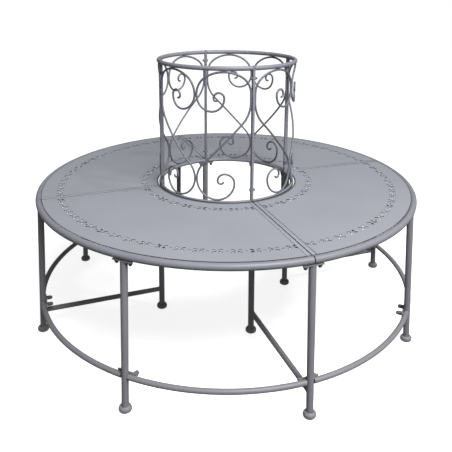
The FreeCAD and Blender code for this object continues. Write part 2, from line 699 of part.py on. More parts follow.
def leg_plate(name, tube_radius, top_radius, stud_reach, bottom):
    """Flat plate on a leg's top, with two stud holes under the rim tube."""
    body = new_body(name)
    plan = new_sketch(body, name + "_plan", level=bottom)
    half_width = "(leg_tube / 2 + plate_margin)"
    near = f"min({tube_radius} - plate_stud_edge; {top_radius} - {half_width})"
    far = f"({top_radius} + {half_width})"
    half = "(plate_length / 2)"
    outline(plan, [(near, f"-{half}", None), (far, f"-{half}", None), (far, half, None), (near, half, None)])
    along = f"sqrt({tube_radius} ^ 2 - {stud_reach} ^ 2)"
    for side in (-1, 1):
        circle(plan, along, f"({side} * {stud_reach})", "stud_hole / 2")
    add_pad(body, plan, "plate_thickness")
    return body


# Lower ring, brackets and stretchers

def ring_arc(name, azimuth):
    """One arc of the lower ring between two outer legs, with its two stud holes."""
    eighth = f"({180 / OUTER_LEGS} deg)"
    half_turn = f"({eighth} - asin((leg_tube / 2 + ring_leg_gap) / {RING_RADIUS}))"
    body = tube_arc(name + "_tube", azimuth, RING_RADIUS, "ring_height", "ring_tube", half_turn)
    drills = []
    for side in (-1, 1):
        drill = doc.addObject("Part::Cylinder", f"{name}_drill_{'low' if side < 0 else 'high'}")
        drill.setExpression("Radius", bound("ring_stud_hole / 2"))
        drill.setExpression("Height", bound("ring_tube"))
        leg_azimuth = azimuth + side * 180 / OUTER_LEGS
        put(drill, leg_azimuth, f"{RING_RADIUS} - ring_tube", f"{-side} * ring_stud_reach", "ring_height",
            OUTWARD)
        drills.append(drill)
    cut = doc.addObject("Part::Cut", name)
    cut.Base = body
    cut.Tool = group(name + "_drills", drills)
    return cut


def ring_bracket(name):
    """Flat plate that leans with the leg and carries the ends of two ring arcs."""
    body = new_body(name)
    base = "(ring_height - bracket_height / 2)"
    plan = new_sketch(body, name + "_plan", level=base)
    far = f"({BRACKET_OUTER} + {LEG_LEAN} * bracket_height / 2)"
    near = f"({far} - plate_thickness)"
    half = "(bracket_length / 2)"
    outline(plan, [(near, f"-{half}", None), (far, f"-{half}", None), (far, half, None), (near, half, None)])
    add_pad(body, plan, "bracket_height", lean=LEG_LEAN)
    holes = new_sketch(body, name + "_holes", "YZ_Plane")
    for side in (-1, 1):
        circle(holes, f"({side} * ring_stud_reach)", "ring_height", "ring_stud_hole / 2")
    add_pocket(body, holes, reverse=True)
    return body


def leg_stretcher(name, azimuth):
    """Level tube from an inner leg to the outer leg on the same seam, coped to both."""
    body = new_body(name + "_tube", azimuth)
    start = f"(inner_leg_foot_radius - {INNER_LEG_LEAN} * stretcher_height)"
    end = f"(leg_foot_radius - {LEG_LEAN} * stretcher_height)"
    section = new_sketch(body, name + "_section", "YZ_Plane", level=start)
    circle(section, "0", "stretcher_height", "stretcher_tube / 2")
    circle(section, "0", "stretcher_height", "(stretcher_tube / 2 - tube_wall)")
    add_pad(body, section, f"{end} - {start}")
    copes = []
    for word, foot_radius, lean in (("inner", "inner_leg_foot_radius", INNER_LEG_LEAN),
                                    ("outer", "leg_foot_radius", LEG_LEAN)):
        cope = new_body(f"{name}_{word}_cope", azimuth)
        leg_blank(cope, f"{name}_{word}_plan", ["(leg_tube / 2 + weld_gap)"], foot_radius, lean,
                  "(stretcher_height - stretcher_tube)", "(stretcher_height + stretcher_tube)")
        copes.append(cope)
    cut = doc.addObject("Part::Cut", name)
    cut.Base = body
    cut.Tool = group(name + "_copes", copes)
    return cut


# Fasteners, drawn upright on their seat face

def rod_master(name, diameter, length):
    shank = doc.addObject("Part::Cylinder", name)
    shank.setExpression("Radius", bound(f"{diameter} / 2"))
    shank.setExpression("Height", bound(length))
    return shank


def hex_master(name, flats, height):
    block = doc.addObject("Part::Prism", name)
    block.Polygon = HEXAGON_SIDES
    block.setExpression("Circumradius", bound(f"{flats} / 2 / cos(30 deg)"))
    block.setExpression("Height", bound(height))
    return block


def cap_nut_master(name, size, thread):
    """Hexagon with a round dome on it and a blind bore from the seat face."""
    flats = f"{size}_flats"
    height = f"{size}_height"
    base = hex_master(name + "_hexagon", flats, f"{size}_hexagon")
    dome_radius = f"({flats} / 2 - nut_dome_step)"
    neck = rod_master(name + "_neck", f"(2 * {dome_radius})", f"{height} - {dome_radius}")
    dome = doc.addObject("Part::Sphere", name + "_dome")
    dome.setExpression("Radius", bound(dome_radius))
    dome.setExpression("Placement.Base.z", bound(f"{height} - {dome_radius}"))
    solid = doc.addObject("Part::MultiFuse", name + "_solid")
    solid.Shapes = [base, neck, dome]
    solid.Refine = True
    bore = rod_master(name + "_bore", f"({thread} + 2 * nut_fit)", f"{size}_bore")
    nut = doc.addObject("Part::Cut", name)
    nut.Base = solid
    nut.Tool = bore
    return nut


def post_bolt_master(name):
    """Bolt with a hexagon head, its shank up from the seat face."""
    head = hex_master(name + "_head", "post_nut_flats", "post_head_height")
    head.setExpression("Placement.Base.z", bound("-post_head_height"))
    length = f"(2 * ({POST_OUTER} + weld_gap) + post_nut_bore - nut_tip_gap)"
    shank = rod_master(name + "_shank", "post_bolt", length)
    bolt = doc.addObject("Part::MultiFuse", name)
    bolt.Shapes = [head, shank]
    bolt.Refine = True
    return bolt


OUTER_AZIMUTHS = [step * 360 / OUTER_LEGS for step in range(OUTER_LEGS)]
SEAM_AZIMUTHS = [step * 360 / QUARTERS for step in range(QUARTERS)]
MIDDLE_AZIMUTHS = [azimuth + 180 / QUARTERS for azimuth in SEAM_AZIMUTHS]

# First quarter, from the seam on +X to the seam on +Y, with the legs of its first seam
SEAM, NEXT_SEAM = SEAM_AZIMUTHS[:2]
MIDDLE = MIDDLE_AZIMUTHS[0]
EIGHTH = 180 / OUTER_LEGS
first_quarter = [
    seat_panel("seat_panel_1", MIDDLE),
    seat_outer_rim("seat_outer_rim_1", MIDDLE),
    seat_inner_rim("seat_inner_rim_1", MIDDLE),
    group("seat_side_bars_1", [seat_side_bar("side_bar_first", SEAM, 1),
                               seat_side_bar("side_bar_last", NEXT_SEAM, -1)]),
    backrest_top_rail("backrest_top_rail_1", MIDDLE),
    group("backrest_posts_1", [backrest_post("post_first", SEAM, 1),
                               backrest_post("post_last", NEXT_SEAM, -1)]),
    backrest_scrolls("backrest_scrolls_1", MIDDLE),
    leg("outer_leg_seam_1", SEAM, "leg_foot_radius", LEG_LEAN, OUTER_LEG_TOP),
    leg("outer_leg_mid_1", MIDDLE, "leg_foot_radius", LEG_LEAN, OUTER_LEG_TOP),
    leg("inner_leg_1", SEAM, "inner_leg_foot_radius", INNER_LEG_LEAN, INNER_LEG_TOP),
    leg_stretcher("leg_stretcher_1", SEAM),
    group("lower_ring_arcs_1", [ring_arc("ring_arc_first", SEAM + EIGHTH),
                                ring_arc("ring_arc_last", MIDDLE + EIGHTH)]),
]
nodes = list(first_quarter)
for step in range(1, QUARTERS):
    for piece in first_quarter:
        nodes.append(again(piece.Label.replace("_1", f"_{step + 1}"), piece, SEAM_AZIMUTHS[step]))

# Pieces that are alike all round the bench
mid_bar = seat_mid_bar("mid_bar")
nodes.append(group("seat_mid_bars", round_about(mid_bar, MIDDLE_AZIMUTHS)))
outer_foot = leg_foot("outer_foot", "leg_foot_radius", LEG_LEAN)
inner_foot = leg_foot("inner_foot", "inner_leg_foot_radius", INNER_LEG_LEAN)
nodes.append(group("leg_feet",
                   round_about(outer_foot, OUTER_AZIMUTHS) + round_about(inner_foot, SEAM_AZIMUTHS)))
outer_plate = leg_plate("outer_plate", RIM_RADIUS, "leg_top_radius", "plate_stud_reach",
                        OUTER_PLATE_BOTTOM)
inner_plate = leg_plate("inner_plate", INNER_RADIUS, "inner_leg_top_radius", "inner_stud_reach",
                        INNER_PLATE_BOTTOM)
nodes.append(group("leg_top_plates",
                   round_about(outer_plate, OUTER_AZIMUTHS) + round_about(inner_plate, SEAM_AZIMUTHS)))
nodes.append(group("ring_brackets", round_about(ring_bracket("bracket"), OUTER_AZIMUTHS)))

# Seat studs reach from the middle of a rim tube down into their nuts
BOTH_SIDES = (-1, 1)
STUD_ROWS = (
    ("outer", OUTER_AZIMUTHS, BOTH_SIDES, "plate_stud_reach", RIM_RADIUS, RIM_LEVEL, OUTER_PLATE_BOTTOM),
    ("inner", SEAM_AZIMUTHS, BOTH_SIDES, "inner_stud_reach", INNER_RADIUS, INNER_LEVEL, INNER_PLATE_BOTTOM),
    ("mid", MIDDLE_AZIMUTHS, (1,), "0", INNER_RADIUS, INNER_LEVEL, MID_TAB_BOTTOM),
)
seat_nut = cap_nut_master("seat_nut", "stud_nut", "stud")
seat_studs = []
seat_nuts = []
for word, azimuths, sides, reach, radius, tube_level, plate_level in STUD_ROWS:
    nut_level = f"({plate_level} - weld_gap)"
    shank = rod_master(f"{word}_stud", "stud", f"{tube_level} - {nut_level} + stud_nut_bore - nut_tip_gap")
    along = f"sqrt({radius} ^ 2 - {reach} ^ 2)"
    for azimuth in azimuths:
        for side in sides:
            across = f"{side} * {reach}"
            seat_studs.append(copy_at(shank, azimuth, along, across, tube_level, DOWN))
            seat_nuts.append(copy_at(seat_nut, azimuth, along, across, nut_level, DOWN))
nodes.append(group("seat_studs", seat_studs))
nodes.append(group("seat_cap_nuts", seat_nuts))

# Ring studs run from the middle of the ring tube inwards through the brackets
NUT_FACE = f"({BRACKET_OUTER} - plate_thickness - {LEG_LEAN} * ring_nut_flats / 2 - weld_gap)"
ring_shank = rod_master("ring_shank", "ring_stud",
                        f"{RING_RADIUS} - {NUT_FACE} + ring_nut_bore - nut_tip_gap")
ring_nut = cap_nut_master("ring_nut", "ring_nut", "ring_stud")
ring_studs = []
ring_nuts = []
for azimuth in OUTER_AZIMUTHS:
    for side in BOTH_SIDES:
        across = f"{side} * ring_stud_reach"
        ring_studs.append(copy_at(ring_shank, azimuth, RING_RADIUS, across, "ring_height", INWARD))
        ring_nuts.append(copy_at(ring_nut, azimuth, NUT_FACE, across, "ring_height", INWARD))
nodes.append(group("ring_studs", ring_studs))
nodes.append(group("ring_cap_nuts", ring_nuts))

# Post bolts cross each seam at two heights
post_bolt = post_bolt_master("post_bolt_master")
post_nut = cap_nut_master("post_nut", "post_nut", "post_bolt")
post_bolts = []
post_nuts = []
for azimuth in SEAM_AZIMUTHS:
    for level in ("post_bolt_low", "post_bolt_high"):
        along = cone_radius(level)
        face = f"({POST_OUTER} + weld_gap)"
        post_bolts.append(copy_at(post_bolt, azimuth, along, f"-{face}", level, SIDEWAYS))
        post_nuts.append(copy_at(post_nut, azimuth, along, face, level, SIDEWAYS))
nodes.append(group("backrest_bolts", post_bolts))
nodes.append(group("backrest_cap_nuts", post_nuts))

doc.recompute()
for piece in doc.Objects:
    if "Invalid" in piece.State or "Error" in piece.State:
        raise RuntimeError(f"{piece.Name} failed: {piece.State}")
for node in nodes:
    shape = Part.getShape(node)
    if shape.isNull() or not shape.isValid() or not shape.Solids:
        raise RuntimeError(f"{node.Label} has no sound solid")
    shape.exportStep(f"parts/{node.Label}.step")
print(len(nodes), "nodes written")
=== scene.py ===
"""Finish and fine detail of a round metal tree bench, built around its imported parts.

Everything is in metres with +Z up, and the origin is on the floor in the middle of the trunk
opening. Seams between the four quarters lie on the X and Y axes.
"""

import functools
import json
import math

import bmesh
import bpy
import numpy as np
from bpy.props import FloatProperty, FloatVectorProperty, PointerProperty
from mathutils import Matrix


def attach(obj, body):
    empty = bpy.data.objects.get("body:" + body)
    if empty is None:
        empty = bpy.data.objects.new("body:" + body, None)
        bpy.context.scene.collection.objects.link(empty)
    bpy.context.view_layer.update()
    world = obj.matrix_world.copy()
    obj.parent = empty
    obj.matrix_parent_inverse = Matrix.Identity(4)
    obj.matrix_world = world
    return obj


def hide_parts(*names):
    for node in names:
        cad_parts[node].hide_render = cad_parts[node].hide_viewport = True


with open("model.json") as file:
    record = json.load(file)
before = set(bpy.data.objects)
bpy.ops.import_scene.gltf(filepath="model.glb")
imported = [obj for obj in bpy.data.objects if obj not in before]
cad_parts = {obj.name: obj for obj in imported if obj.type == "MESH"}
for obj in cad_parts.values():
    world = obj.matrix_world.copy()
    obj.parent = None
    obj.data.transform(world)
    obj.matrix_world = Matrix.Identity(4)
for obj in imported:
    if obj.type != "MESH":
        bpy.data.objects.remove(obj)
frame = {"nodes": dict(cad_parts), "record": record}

bl_info = {
    "name": "Tree Bench",
    "version": (1, 0, 0),
    "blender": (4, 5, 0),
    "location": "View3D > Sidebar > Tree Bench",
    "description": "Finishes, scroll rods, feet, nuts, rounded bars and welds of a tree bench",
    "category": "Add Mesh",
}

QUARTERS = (1, 2, 3, 4)
QUARTER_TURN = math.tau / len(QUARTERS)
UP = np.array([0.0, 0.0, 1.0])
# A millimetre
MM = 0.001
# Below these distances, two places are one and two heights are one level
SAME_PLACE = 0.001 * MM
SAME_LEVEL = 0.01 * MM
# Points round each curved shape
ROD_SIDES, FOOT_SIDES, NUT_SIDES, BEAD_SIDES, FLOOR_SIDES = 24, 64, 48, 10, 96
# Rings over a small rounding, over a dome, and over a foot's edge, shoulder and lip
ROUND_RINGS, DOME_RINGS, FOOT_RINGS = 5, 9, (11, 13, 6)
# Places along a short bead and along one round a tube
RUN_PLACES, LOOP_PLACES = 9, 72


# Reading the frame

def node_points(name):
    """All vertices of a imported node, as rows of x, y and z."""
    vertices = frame["nodes"][name].data.vertices
    points = np.empty(len(vertices) * 3)
    vertices.foreach_get("co", points)
    return points.reshape(-1, 3)


def box_middle(points):
    return (points.min(axis=0) + points.max(axis=0)) / 2


def islands(name):
    """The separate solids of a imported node, each as rows of its vertices.

    Every point starts with its own number, and the three corners of a triangle take their lowest
    number until nothing changes, so points that hang together end with one number.
    """
    mesh = frame["nodes"][name].data
    corners = np.empty(len(mesh.loops), int)
    mesh.loops.foreach_get("vertex_index", corners)
    grid = np.round(node_points(name) / SAME_PLACE)
    points, index = np.unique(grid, axis=0, return_inverse=True)
    points *= SAME_PLACE
    corners = index.ravel()[corners].reshape(-1, 3)
    number = np.arange(len(points))
    settled = False
    while not settled:
        lower = number.copy()
        np.minimum.at(lower, corners.ravel(), np.repeat(number[corners].min(axis=1), 3))
        lower = lower[lower]
        settled = bool((lower == number).all())
        number = lower
    return [points[number == solid] for solid in np.unique(number)]


def leg_names():
    return [name for name in frame["nodes"] if name.startswith(("outer_leg_", "inner_leg_"))]


def bent_tube(name):
    """Radius about the bench's axis, level and diameter of a tube that is bent about that axis."""
    points = node_points(name)
    reach = np.hypot(points[:, 0], points[:, 1])
    low, high = points[:, 2].min(), points[:, 2].max()
    return (reach.min() + reach.max()) / 2, (low + high) / 2, high - low


def tube_ends(name):
    """Middles of the two level ends of a leaning tube, lower one first, and its diameter."""
    points = node_points(name)
    low, high = (points[np.abs(points[:, 2] - level) < SAME_LEVEL]
                 for level in (points[:, 2].min(), points[:, 2].max()))
    return box_middle(low), box_middle(high), np.ptp(high[:, :2], axis=0).min()


INNER_RADIUS, INNER_LEVEL, INNER_TUBE = bent_tube("seat_inner_rim_1")
RAIL_RADIUS, RAIL_LEVEL, RAIL_TUBE = bent_tube("backrest_top_rail_1")
SHEET = node_points("seat_panel_1")
SHEET_REACH = np.hypot(SHEET[:, 0], SHEET[:, 1])
SHEET_INNER, SHEET_OUTER = float(SHEET_REACH.min()), float(SHEET_REACH.max())
SHEET_SIDE = float(np.abs(SHEET[:, :2]).min())
SHEET_LOW, SHEET_TOP = (float(level) for level in (SHEET[:, 2].min(), SHEET[:, 2].max()))
# Punched border: inner and outer circle of flowers, and the turn from one flower to the next
FLOWER_CIRCLES = (269 * MM, 528.5 * MM)
FLOWER_PITCHES = (math.radians(9.75), math.radians(4.97))
# A petal's middle from the flower's, along the rim and across it, and its slot
PETAL_PLACE = (8 * MM, 5.4 * MM)
PETAL_TURN = math.radians(34)
PETAL_REACH, PETAL_WIDTH = 2.7 * MM, 4 * MM
# Where the painted shade round a petal begins to fade and ends
PETAL_BAND = (0.5 * MM, 1.7 * MM)
CONE_SLOPE = (INNER_RADIUS - RAIL_RADIUS) / (RAIL_LEVEL - INNER_LEVEL)
FLAT_RADIUS = (INNER_RADIUS + RAIL_RADIUS) / 2


# Properties

def length(name, description, default):
    return FloatProperty(name=name, description=description, default=default * MM, min=0,
                         precision=5, unit="LENGTH")


def lengths(name, description, default):
    return FloatVectorProperty(name=name, description=description, size=len(default), min=0,
                               default=[value * MM for value in default], precision=5,
                               unit="LENGTH")


def turn(name, description, default):
    return FloatProperty(name=name, description=description, default=math.radians(default),
                         subtype="ANGLE")


def colour(name, description, default):
    return FloatVectorProperty(name=name, description=description, default=default, size=3, min=0,
                               max=1, subtype="COLOR")


def number(name, description, default):
    return FloatProperty(name=name, description=description, default=default)


class RodSizes(bpy.types.PropertyGroup):
    """Bends of a scroll rod, from the post upwards and from the post downwards."""

    rod: length("Rod", "Diameter of a scroll rod", 6)
    weld_gap: length("Weld gap", "Gap between a rod and what it is welded to", 0.15)
    post: length("Post", "Thickness of the two flat posts and half of the gap between them", 3.2)
    post_run: length("Post run", "Straight length beside the post", 22)
    crown_first: length("Crown, first", "Bend from the post into the upper loop", 52)
    crown_last: length("Crown, last", "Bend at the middle side of the upper loop", 55)
    crown_turn: turn("Crown turn", "Turn of each of the crown's three bends", 60)
    upper_curl: lengths("Upper curl", "Bends of its four quarters", (44, 36, 15, 15))
    upper_end_turn: turn("Upper end", "Turn of the rod's upper end", 120)
    shoulder: length("Shoulder", "Bend from the post into the slope", 85)
    hip: length("Hip", "Bend from the slope to the middle", 60)
    lower_curl: lengths("Lower curl", "Bends of its five quarters", (60, 50, 28, 20, 9.5))
    lower_end_turn: turn("Lower end", "Turn of the rod's lower end", 90)
    curl_end: length("Rod end", "Bend of each rod end", 7)
    end_round: length("End rounding", "Rounding of a rod's cut ends", 1.2)
    step: length("Step", "Distance between the rings of a rod", 1.6)


class DetailSizes(bpy.types.PropertyGroup):
    """Rounded edges, feet, nuts and welds."""

    bar_edge: length("Bar edge", "Rounding of the flat bars, plates and brackets", 0.6)
    foot_edge: length("Foot edge", "Rounding of a foot's lower edge", 7)
    foot_belly: length("Foot belly", "Height where a foot starts to draw in", 9)
    foot_dome: length("Foot dome", "Rounding of a foot's shoulder", 9.5)
    foot_neck: length("Foot top", "Diameter of a foot's top round the leg", 22)
    foot_lip: length("Foot lip", "Rounding of a foot's top edge", 0.5)
    foot_sole: length("Foot sole", "Thickness under the leg", 4)
    foot_fit: length("Foot fit", "Clearance between the leg and its foot", 0.1)
    nut_dome_step: length("Dome step", "Dome of a nut, in from its flats", 0.4)
    nut_chamfer: length("Nut chamfer", "Height of the bevel at a nut's corners", 0.5)
    seat_nut: lengths("Seat nut", "Domed nut under the seat: flats and hexagon's height", (10, 6))
    ring_nut: lengths("Ring nut", "Domed nut of the lower ring: the same sizes", (13, 8))
    post_nut: lengths("Post nut", "Domed nut of the posts: the same sizes", (8, 4))
    post_head: length("Post bolt head", "Height of a post bolt's head", 3.5)
    post_bolt: length("Post bolt", "Diameter of a post bolt", 5)
    bolt_round: length("Post bolt end", "Rounding of a post bolt's end", 0.3)
    bead: length("Bead", "Radius of a weld bead on the legs", 1.1)
    fine_bead: length("Fine bead", "Radius of a weld bead on the backrest", 0.8)
    bead_run: length("Bead run", "Length of a weld bead beside a rod", 11)
    bead_pitch: length("Bead pitch", "Distance between the ripples of a weld bead", 2.4)
    bracket_bead: length("Bracket bead", "Weld beads from the middle of their bracket", 5.2)


class Colours(bpy.types.PropertyGroup):
    """Colours of the coat and of the feet."""

    seat: colour("Seat", "Powder coat of the seat sheets", (0.355, 0.368, 0.412))
    frame: colour("Frame", "Powder coat of the rims, bars, posts and rail", (0.266, 0.270, 0.304))
    rods: colour("Rods", "Powder coat of the scroll rods", (0.180, 0.186, 0.220))
    legs: colour("Legs", "Powder coat of the legs and the lower ring", (0.262, 0.260, 0.284))
    feet: colour("Feet", "Moulded feet", (0.270, 0.267, 0.290))
    nuts: colour("Nuts", "Coated domed nuts", (0.160, 0.160, 0.174))
    studs: colour("Studs", "Zinc plated studs", (0.62, 0.61, 0.59))
    dust: colour("Dust", "Dust on the feet near the floor", (0.42, 0.40, 0.37))
    floor: colour("Floor", "Plain pale floor", (0.76, 0.76, 0.76))


class StageSizes(bpy.types.PropertyGroup):
    """Camera, lights and floor."""

    lens: number("Lens", "Focal length of the camera in millimetres", 41.46)
    distance: length("Distance", "Camera to the bench's axis, along the floor", 1634)
    height: length("Height", "Camera above the floor", 1019)
    azimuth: turn("Azimuth", "Turn of the camera about the bench's axis", -20.45)
    tilt: turn("Tilt", "Camera's tilt up from looking straight down", 65.58)
    roll: turn("Roll", "Camera's turn about its own line of sight", 0.34)
    floor_reach: length("Floor reach", "Radius of the floor", 30000)
    floor_glow: number("Floor glow", "Strength of the floor's own light", 0.82)
    key_strength: number("Key strength", "Light of the wide lamp at the bench's middle", 2.95)
    key_spread: turn("Key spread", "How wide the wide lamp looks", 26)
    key_height: turn("Key height", "Height of the wide lamp over the horizon", 56)
    key_side: turn("Key side", "Turn of the wide lamp from the camera to the right", 27)
    key_distance: length("Key distance", "Wide lamp to the bench's middle", 4200)
    side_strength: number("Side strength", "Strength of the small light from the right", 0.42)
    side_spread: turn("Side spread", "How wide the small light looks", 5)
    side_height: turn("Side height", "Height of the small light over the horizon", 50)
    side_turn: turn("Side turn", "Turn of the small light from the camera to the right", 72)
    sky: number("Sky", "Strength of the light from all round", 0.155)


# Materials

def math_node(operation, swapped=False):
    """A method that adds a Math node for a varying number and another one."""
    def join(self, other=0):
        first, second = (other, self) if swapped else (self, other)
        return self.finish.add("Math", {"operation": operation}, {0: first, 1: second})
    return join


class Varying:
    """A number that varies over a surface; arithmetic on it adds Math nodes."""

    def __init__(self, finish, socket):
        self.finish = finish
        self.socket = socket

    __add__ = __radd__ = math_node("ADD")
    __sub__ = math_node("SUBTRACT")
    __rsub__ = math_node("SUBTRACT", swapped=True)
    __mul__ = __rmul__ = math_node("MULTIPLY")
    __truediv__ = math_node("DIVIDE")
    __pow__ = math_node("POWER")
    at_least = math_node("MAXIMUM")
    above = math_node("GREATER_THAN")
    angle_over = math_node("ARCTAN2")
    magnitude = math_node("ABSOLUTE")
    remainder = math_node("FRACT")


class Finish:
    """A material that is put together from procedural nodes on Object coordinates."""

    def __init__(self, name, **constants):
        self.material = bpy.data.materials.new(name)
        self.material.use_nodes = True
        self.nodes = self.material.node_tree.nodes
        self.links = self.material.node_tree.links
        self.shader = self.nodes["Principled BSDF"]
        self.place = self.add("TexCoord", {}, {}, "Object")
        self.dress(**constants)

    def add(self, kind, settings, inputs, output=0):
        """One node: its settings first, then the values or links of its sockets."""
        node = self.nodes.new("ShaderNode" + kind)
        for name, setting in settings.items():
            setattr(node, name, setting)
        for name, given in inputs.items():
            self.feed(node.inputs[name], given)
        return Varying(self, node.outputs[output])

    def feed(self, socket, given):
        if isinstance(given, Varying):
            self.links.new(given.socket, socket)
        else:
            socket.default_value = given

    def dress(self, **inputs):
        """Feed the shader's sockets, with _ for the spaces in their names, and give the material."""
        for name, given in inputs.items():
            self.feed(self.shader.inputs[name.replace("_", " ")], given)
        return self.material

    def places(self):
        """Across, along, height and the distance from the bench's axis."""
        across, along, height = (self.add("SeparateXYZ", {}, {0: self.place}, axis) for axis in "XYZ")
        return across, along, height, (across * across + along * along) ** 0.5

    def noise(self, width, detail=3.0, roughness=0.6):
        """Soft noise from 0 to 1 whose lumps are about so many millimetres across."""
        return self.add("TexNoise", {}, {"Vector": self.place, "Scale": 1 / (width * MM),
                                         "Detail": detail, "Roughness": roughness}, "Fac")

    def step(self, share, low, high):
        """0 below low and 1 above high, smooth in between."""
        return self.add("MapRange", {"interpolation_type": "SMOOTHSTEP"},
                        {"Value": share, "From Min": low, "From Max": high})

    def between(self, share, first, second):
        """A colour that runs from the first to the second."""
        return self.add("Mix", {"data_type": "RGBA"}, {0: share, 6: first, 7: second}, 2)

    def clouded(self, share, rgb, darkest, palest):
        """A colour that runs from so many times its own to so many times its own."""
        return self.between(share, shade(rgb, darkest), shade(rgb, palest))

    def span(self, share, low, high):
        """A number that runs from low to high."""
        return share * (high - low) + low

    def bump(self, height, depth, below=None):
        """The surface's tilt where its height varies by so many millimetres, over another tilt."""
        inputs = {"Height": height, "Distance": depth * MM}
        if below is not None:
            inputs["Normal"] = below
        return self.add("Bump", {}, inputs, "Normal")


def shade(rgb, factor):
    return (*(min(channel * factor, 1) for channel in rgb), 1)


# Tone of a full painted shade beside the coat's own, and how far its roughness strays
FULL_SHADE = 0.1
SMEAR = 0.07


def powder_coat(name, rgb, roughness=0.44, cloud=0.05, painted_shade=None):
    """Satin powder coat: cloudy tone, a fine speckle and the skin that looks like orange peel."""
    finish = Finish(name, IOR=1.5)
    clouds = finish.noise(width=220, roughness=0.55)
    speckle = finish.noise(width=1.6, detail=2.0, roughness=0.7)
    share = finish.step(clouds * 0.75 + speckle * 0.25, low=0.3, high=0.7)
    tone = finish.clouded(share, rgb, darkest=1 - cloud, palest=1 + cloud)
    # Painted shade: where the given mask is 1, the tone turns to the full painted shade
    if painted_shade is not None:
        tone = finish.between(painted_shade(finish), tone, shade(rgb, FULL_SHADE))
    smear = finish.noise(width=60, detail=4.0)
    peel = finish.noise(width=2.2, detail=1.5, roughness=0.4)
    sag = finish.noise(width=120, detail=1.0, roughness=0.4)
    skin = finish.bump(peel, depth=0.014, below=finish.bump(sag, depth=0.25))
    return finish.dress(Base_Color=tone, Normal=skin,
                        Roughness=finish.span(smear, roughness - SMEAR, roughness + SMEAR))


def petal_painted_shade(finish, across, along, reach):
    """Painted shade: 1 in a narrow band round the punched petals and 0 away from them.

    Each quarter is folded onto half of itself, a row of flowers onto one flower, and a flower onto
    one petal. The inner row has a flower in its middle, and the outer row a dash. The distance to
    a petal is that to its middle line, less half of its width.
    """
    outer = reach.above(sum(FLOWER_CIRCLES) / 2)
    circle = finish.span(outer, *FLOWER_CIRCLES)
    pitch = finish.span(outer, *FLOWER_PITCHES)
    aside = (along.magnitude().angle_over(across.magnitude()) - math.pi / 4).magnitude()
    turn_off = ((aside / pitch + 0.5 - outer * 0.5).remainder() - 0.5) * pitch
    sideways = (turn_off * reach).magnitude() - PETAL_PLACE[0]
    outwards = (reach - circle).magnitude() - PETAL_PLACE[1]
    lengthwise = sideways * math.cos(PETAL_TURN) + outwards * math.sin(PETAL_TURN)
    crosswise = outwards * math.cos(PETAL_TURN) - sideways * math.sin(PETAL_TURN)
    past = (lengthwise.magnitude() - PETAL_REACH).at_least(0)
    distance = (past * past + crosswise * crosswise) ** 0.5 - PETAL_WIDTH / 2
    return 1 - finish.step(distance, *PETAL_BAND)


# Where the painted shade on a cut edge starts and is full, below the sheet's top and above its underside
CUT_UNDER_TOP = (0.1 * MM, 0.35 * MM)
CUT_OVER_LOW = (0.05 * MM, 0.2 * MM)
# Reach and weight of the painted shade along the outer rim, the inner rim and the seams between quarters
OUTER_SHADE = (2.4 * MM, 0.85)
INNER_SHADE = (8 * MM, 0.8)
SIDE_SHADE = (1.2 * MM, 0.45)
# Weight of the painted shade round the petals and in the rim's groove
PETAL_SHADE, GROOVE_SHADE = 0.85, 0.8
# Where the groove's painted shade starts and is full outside the rim's middle, and fades over the sheets
GROOVE_OUT = (1.5 * MM, 3 * MM)
GROOVE_UP = (1.2 * MM, 3 * MM)


def sheet_painted_shade(finish):
    """Painted shade of a punched sheet: its cut edges, the rims of its petals and the seams round it."""
    across, along, height, reach = finish.places()
    # Painted shade: the cut edges, a band round each petal and bands along the seams are darkened
    under = finish.step(SHEET_TOP - height, *CUT_UNDER_TOP)
    painted_shade = under * finish.step(height - SHEET_LOW, *CUT_OVER_LOW)
    painted_shade = painted_shade.at_least(petal_painted_shade(finish, across, along, reach) * PETAL_SHADE)
    for place, edge, (width, most) in ((reach, SHEET_OUTER, OUTER_SHADE),
                                       (reach, SHEET_INNER, INNER_SHADE),
                                       (across.magnitude(), SHEET_SIDE, SIDE_SHADE),
                                       (along.magnitude(), SHEET_SIDE, SIDE_SHADE)):
        seam = 1 - finish.step((place - edge).magnitude() / width, low=0.3, high=1.0)
        painted_shade = painted_shade.at_least(seam * most)
    return painted_shade


def rim_groove_painted_shade(finish):
    """Painted shade on the inner rim's outer side, in the groove between the rim and the sheets."""
    height, reach = finish.places()[2:]
    # Painted shade: the rim is darkened below the sheets' level, outside its middle
    outside = finish.step(reach - INNER_RADIUS, *GROOVE_OUT)
    beyond = finish.step(reach - SHEET_INNER, 0.0, MM)
    above = finish.step(height - SHEET_TOP, *GROOVE_UP)
    return outside * (1 - beyond) * (1 - above) * GROOVE_SHADE


# How high the dust reaches on the feet, and the most that it covers
DUST_HEIGHT = 12 * MM
DUST_SHARE = 0.5


def moulded_plastic(name, rgb, dust_rgb):
    """Matte moulded plastic with a faint grain, and dust that gathers near the floor."""
    finish = Finish(name, IOR=1.46)
    grain = finish.noise(width=1.2)
    patches = finish.noise(width=20)
    height = finish.places()[2]
    dust = (1 - finish.step(height, 0.0, DUST_HEIGHT)) * patches * DUST_SHARE
    tone = finish.clouded(patches, rgb, darkest=0.93, palest=1.05)
    return finish.dress(Base_Color=finish.between(dust, tone, shade(dust_rgb, 1)),
                        Roughness=finish.span(grain, low=0.5, high=0.66),
                        Normal=finish.bump(grain, depth=0.02))


def plated_steel(name, rgb):
    """Zinc plated steel, brushed and a little cloudy."""
    finish = Finish(name, Metallic=1.0)
    clouds = finish.noise(width=4, detail=4.0)
    return finish.dress(Base_Color=finish.clouded(clouds, rgb, darkest=0.8, palest=1.05),
                        Roughness=finish.span(clouds, low=0.3, high=0.5),
                        Normal=finish.bump(clouds, depth=0.01))


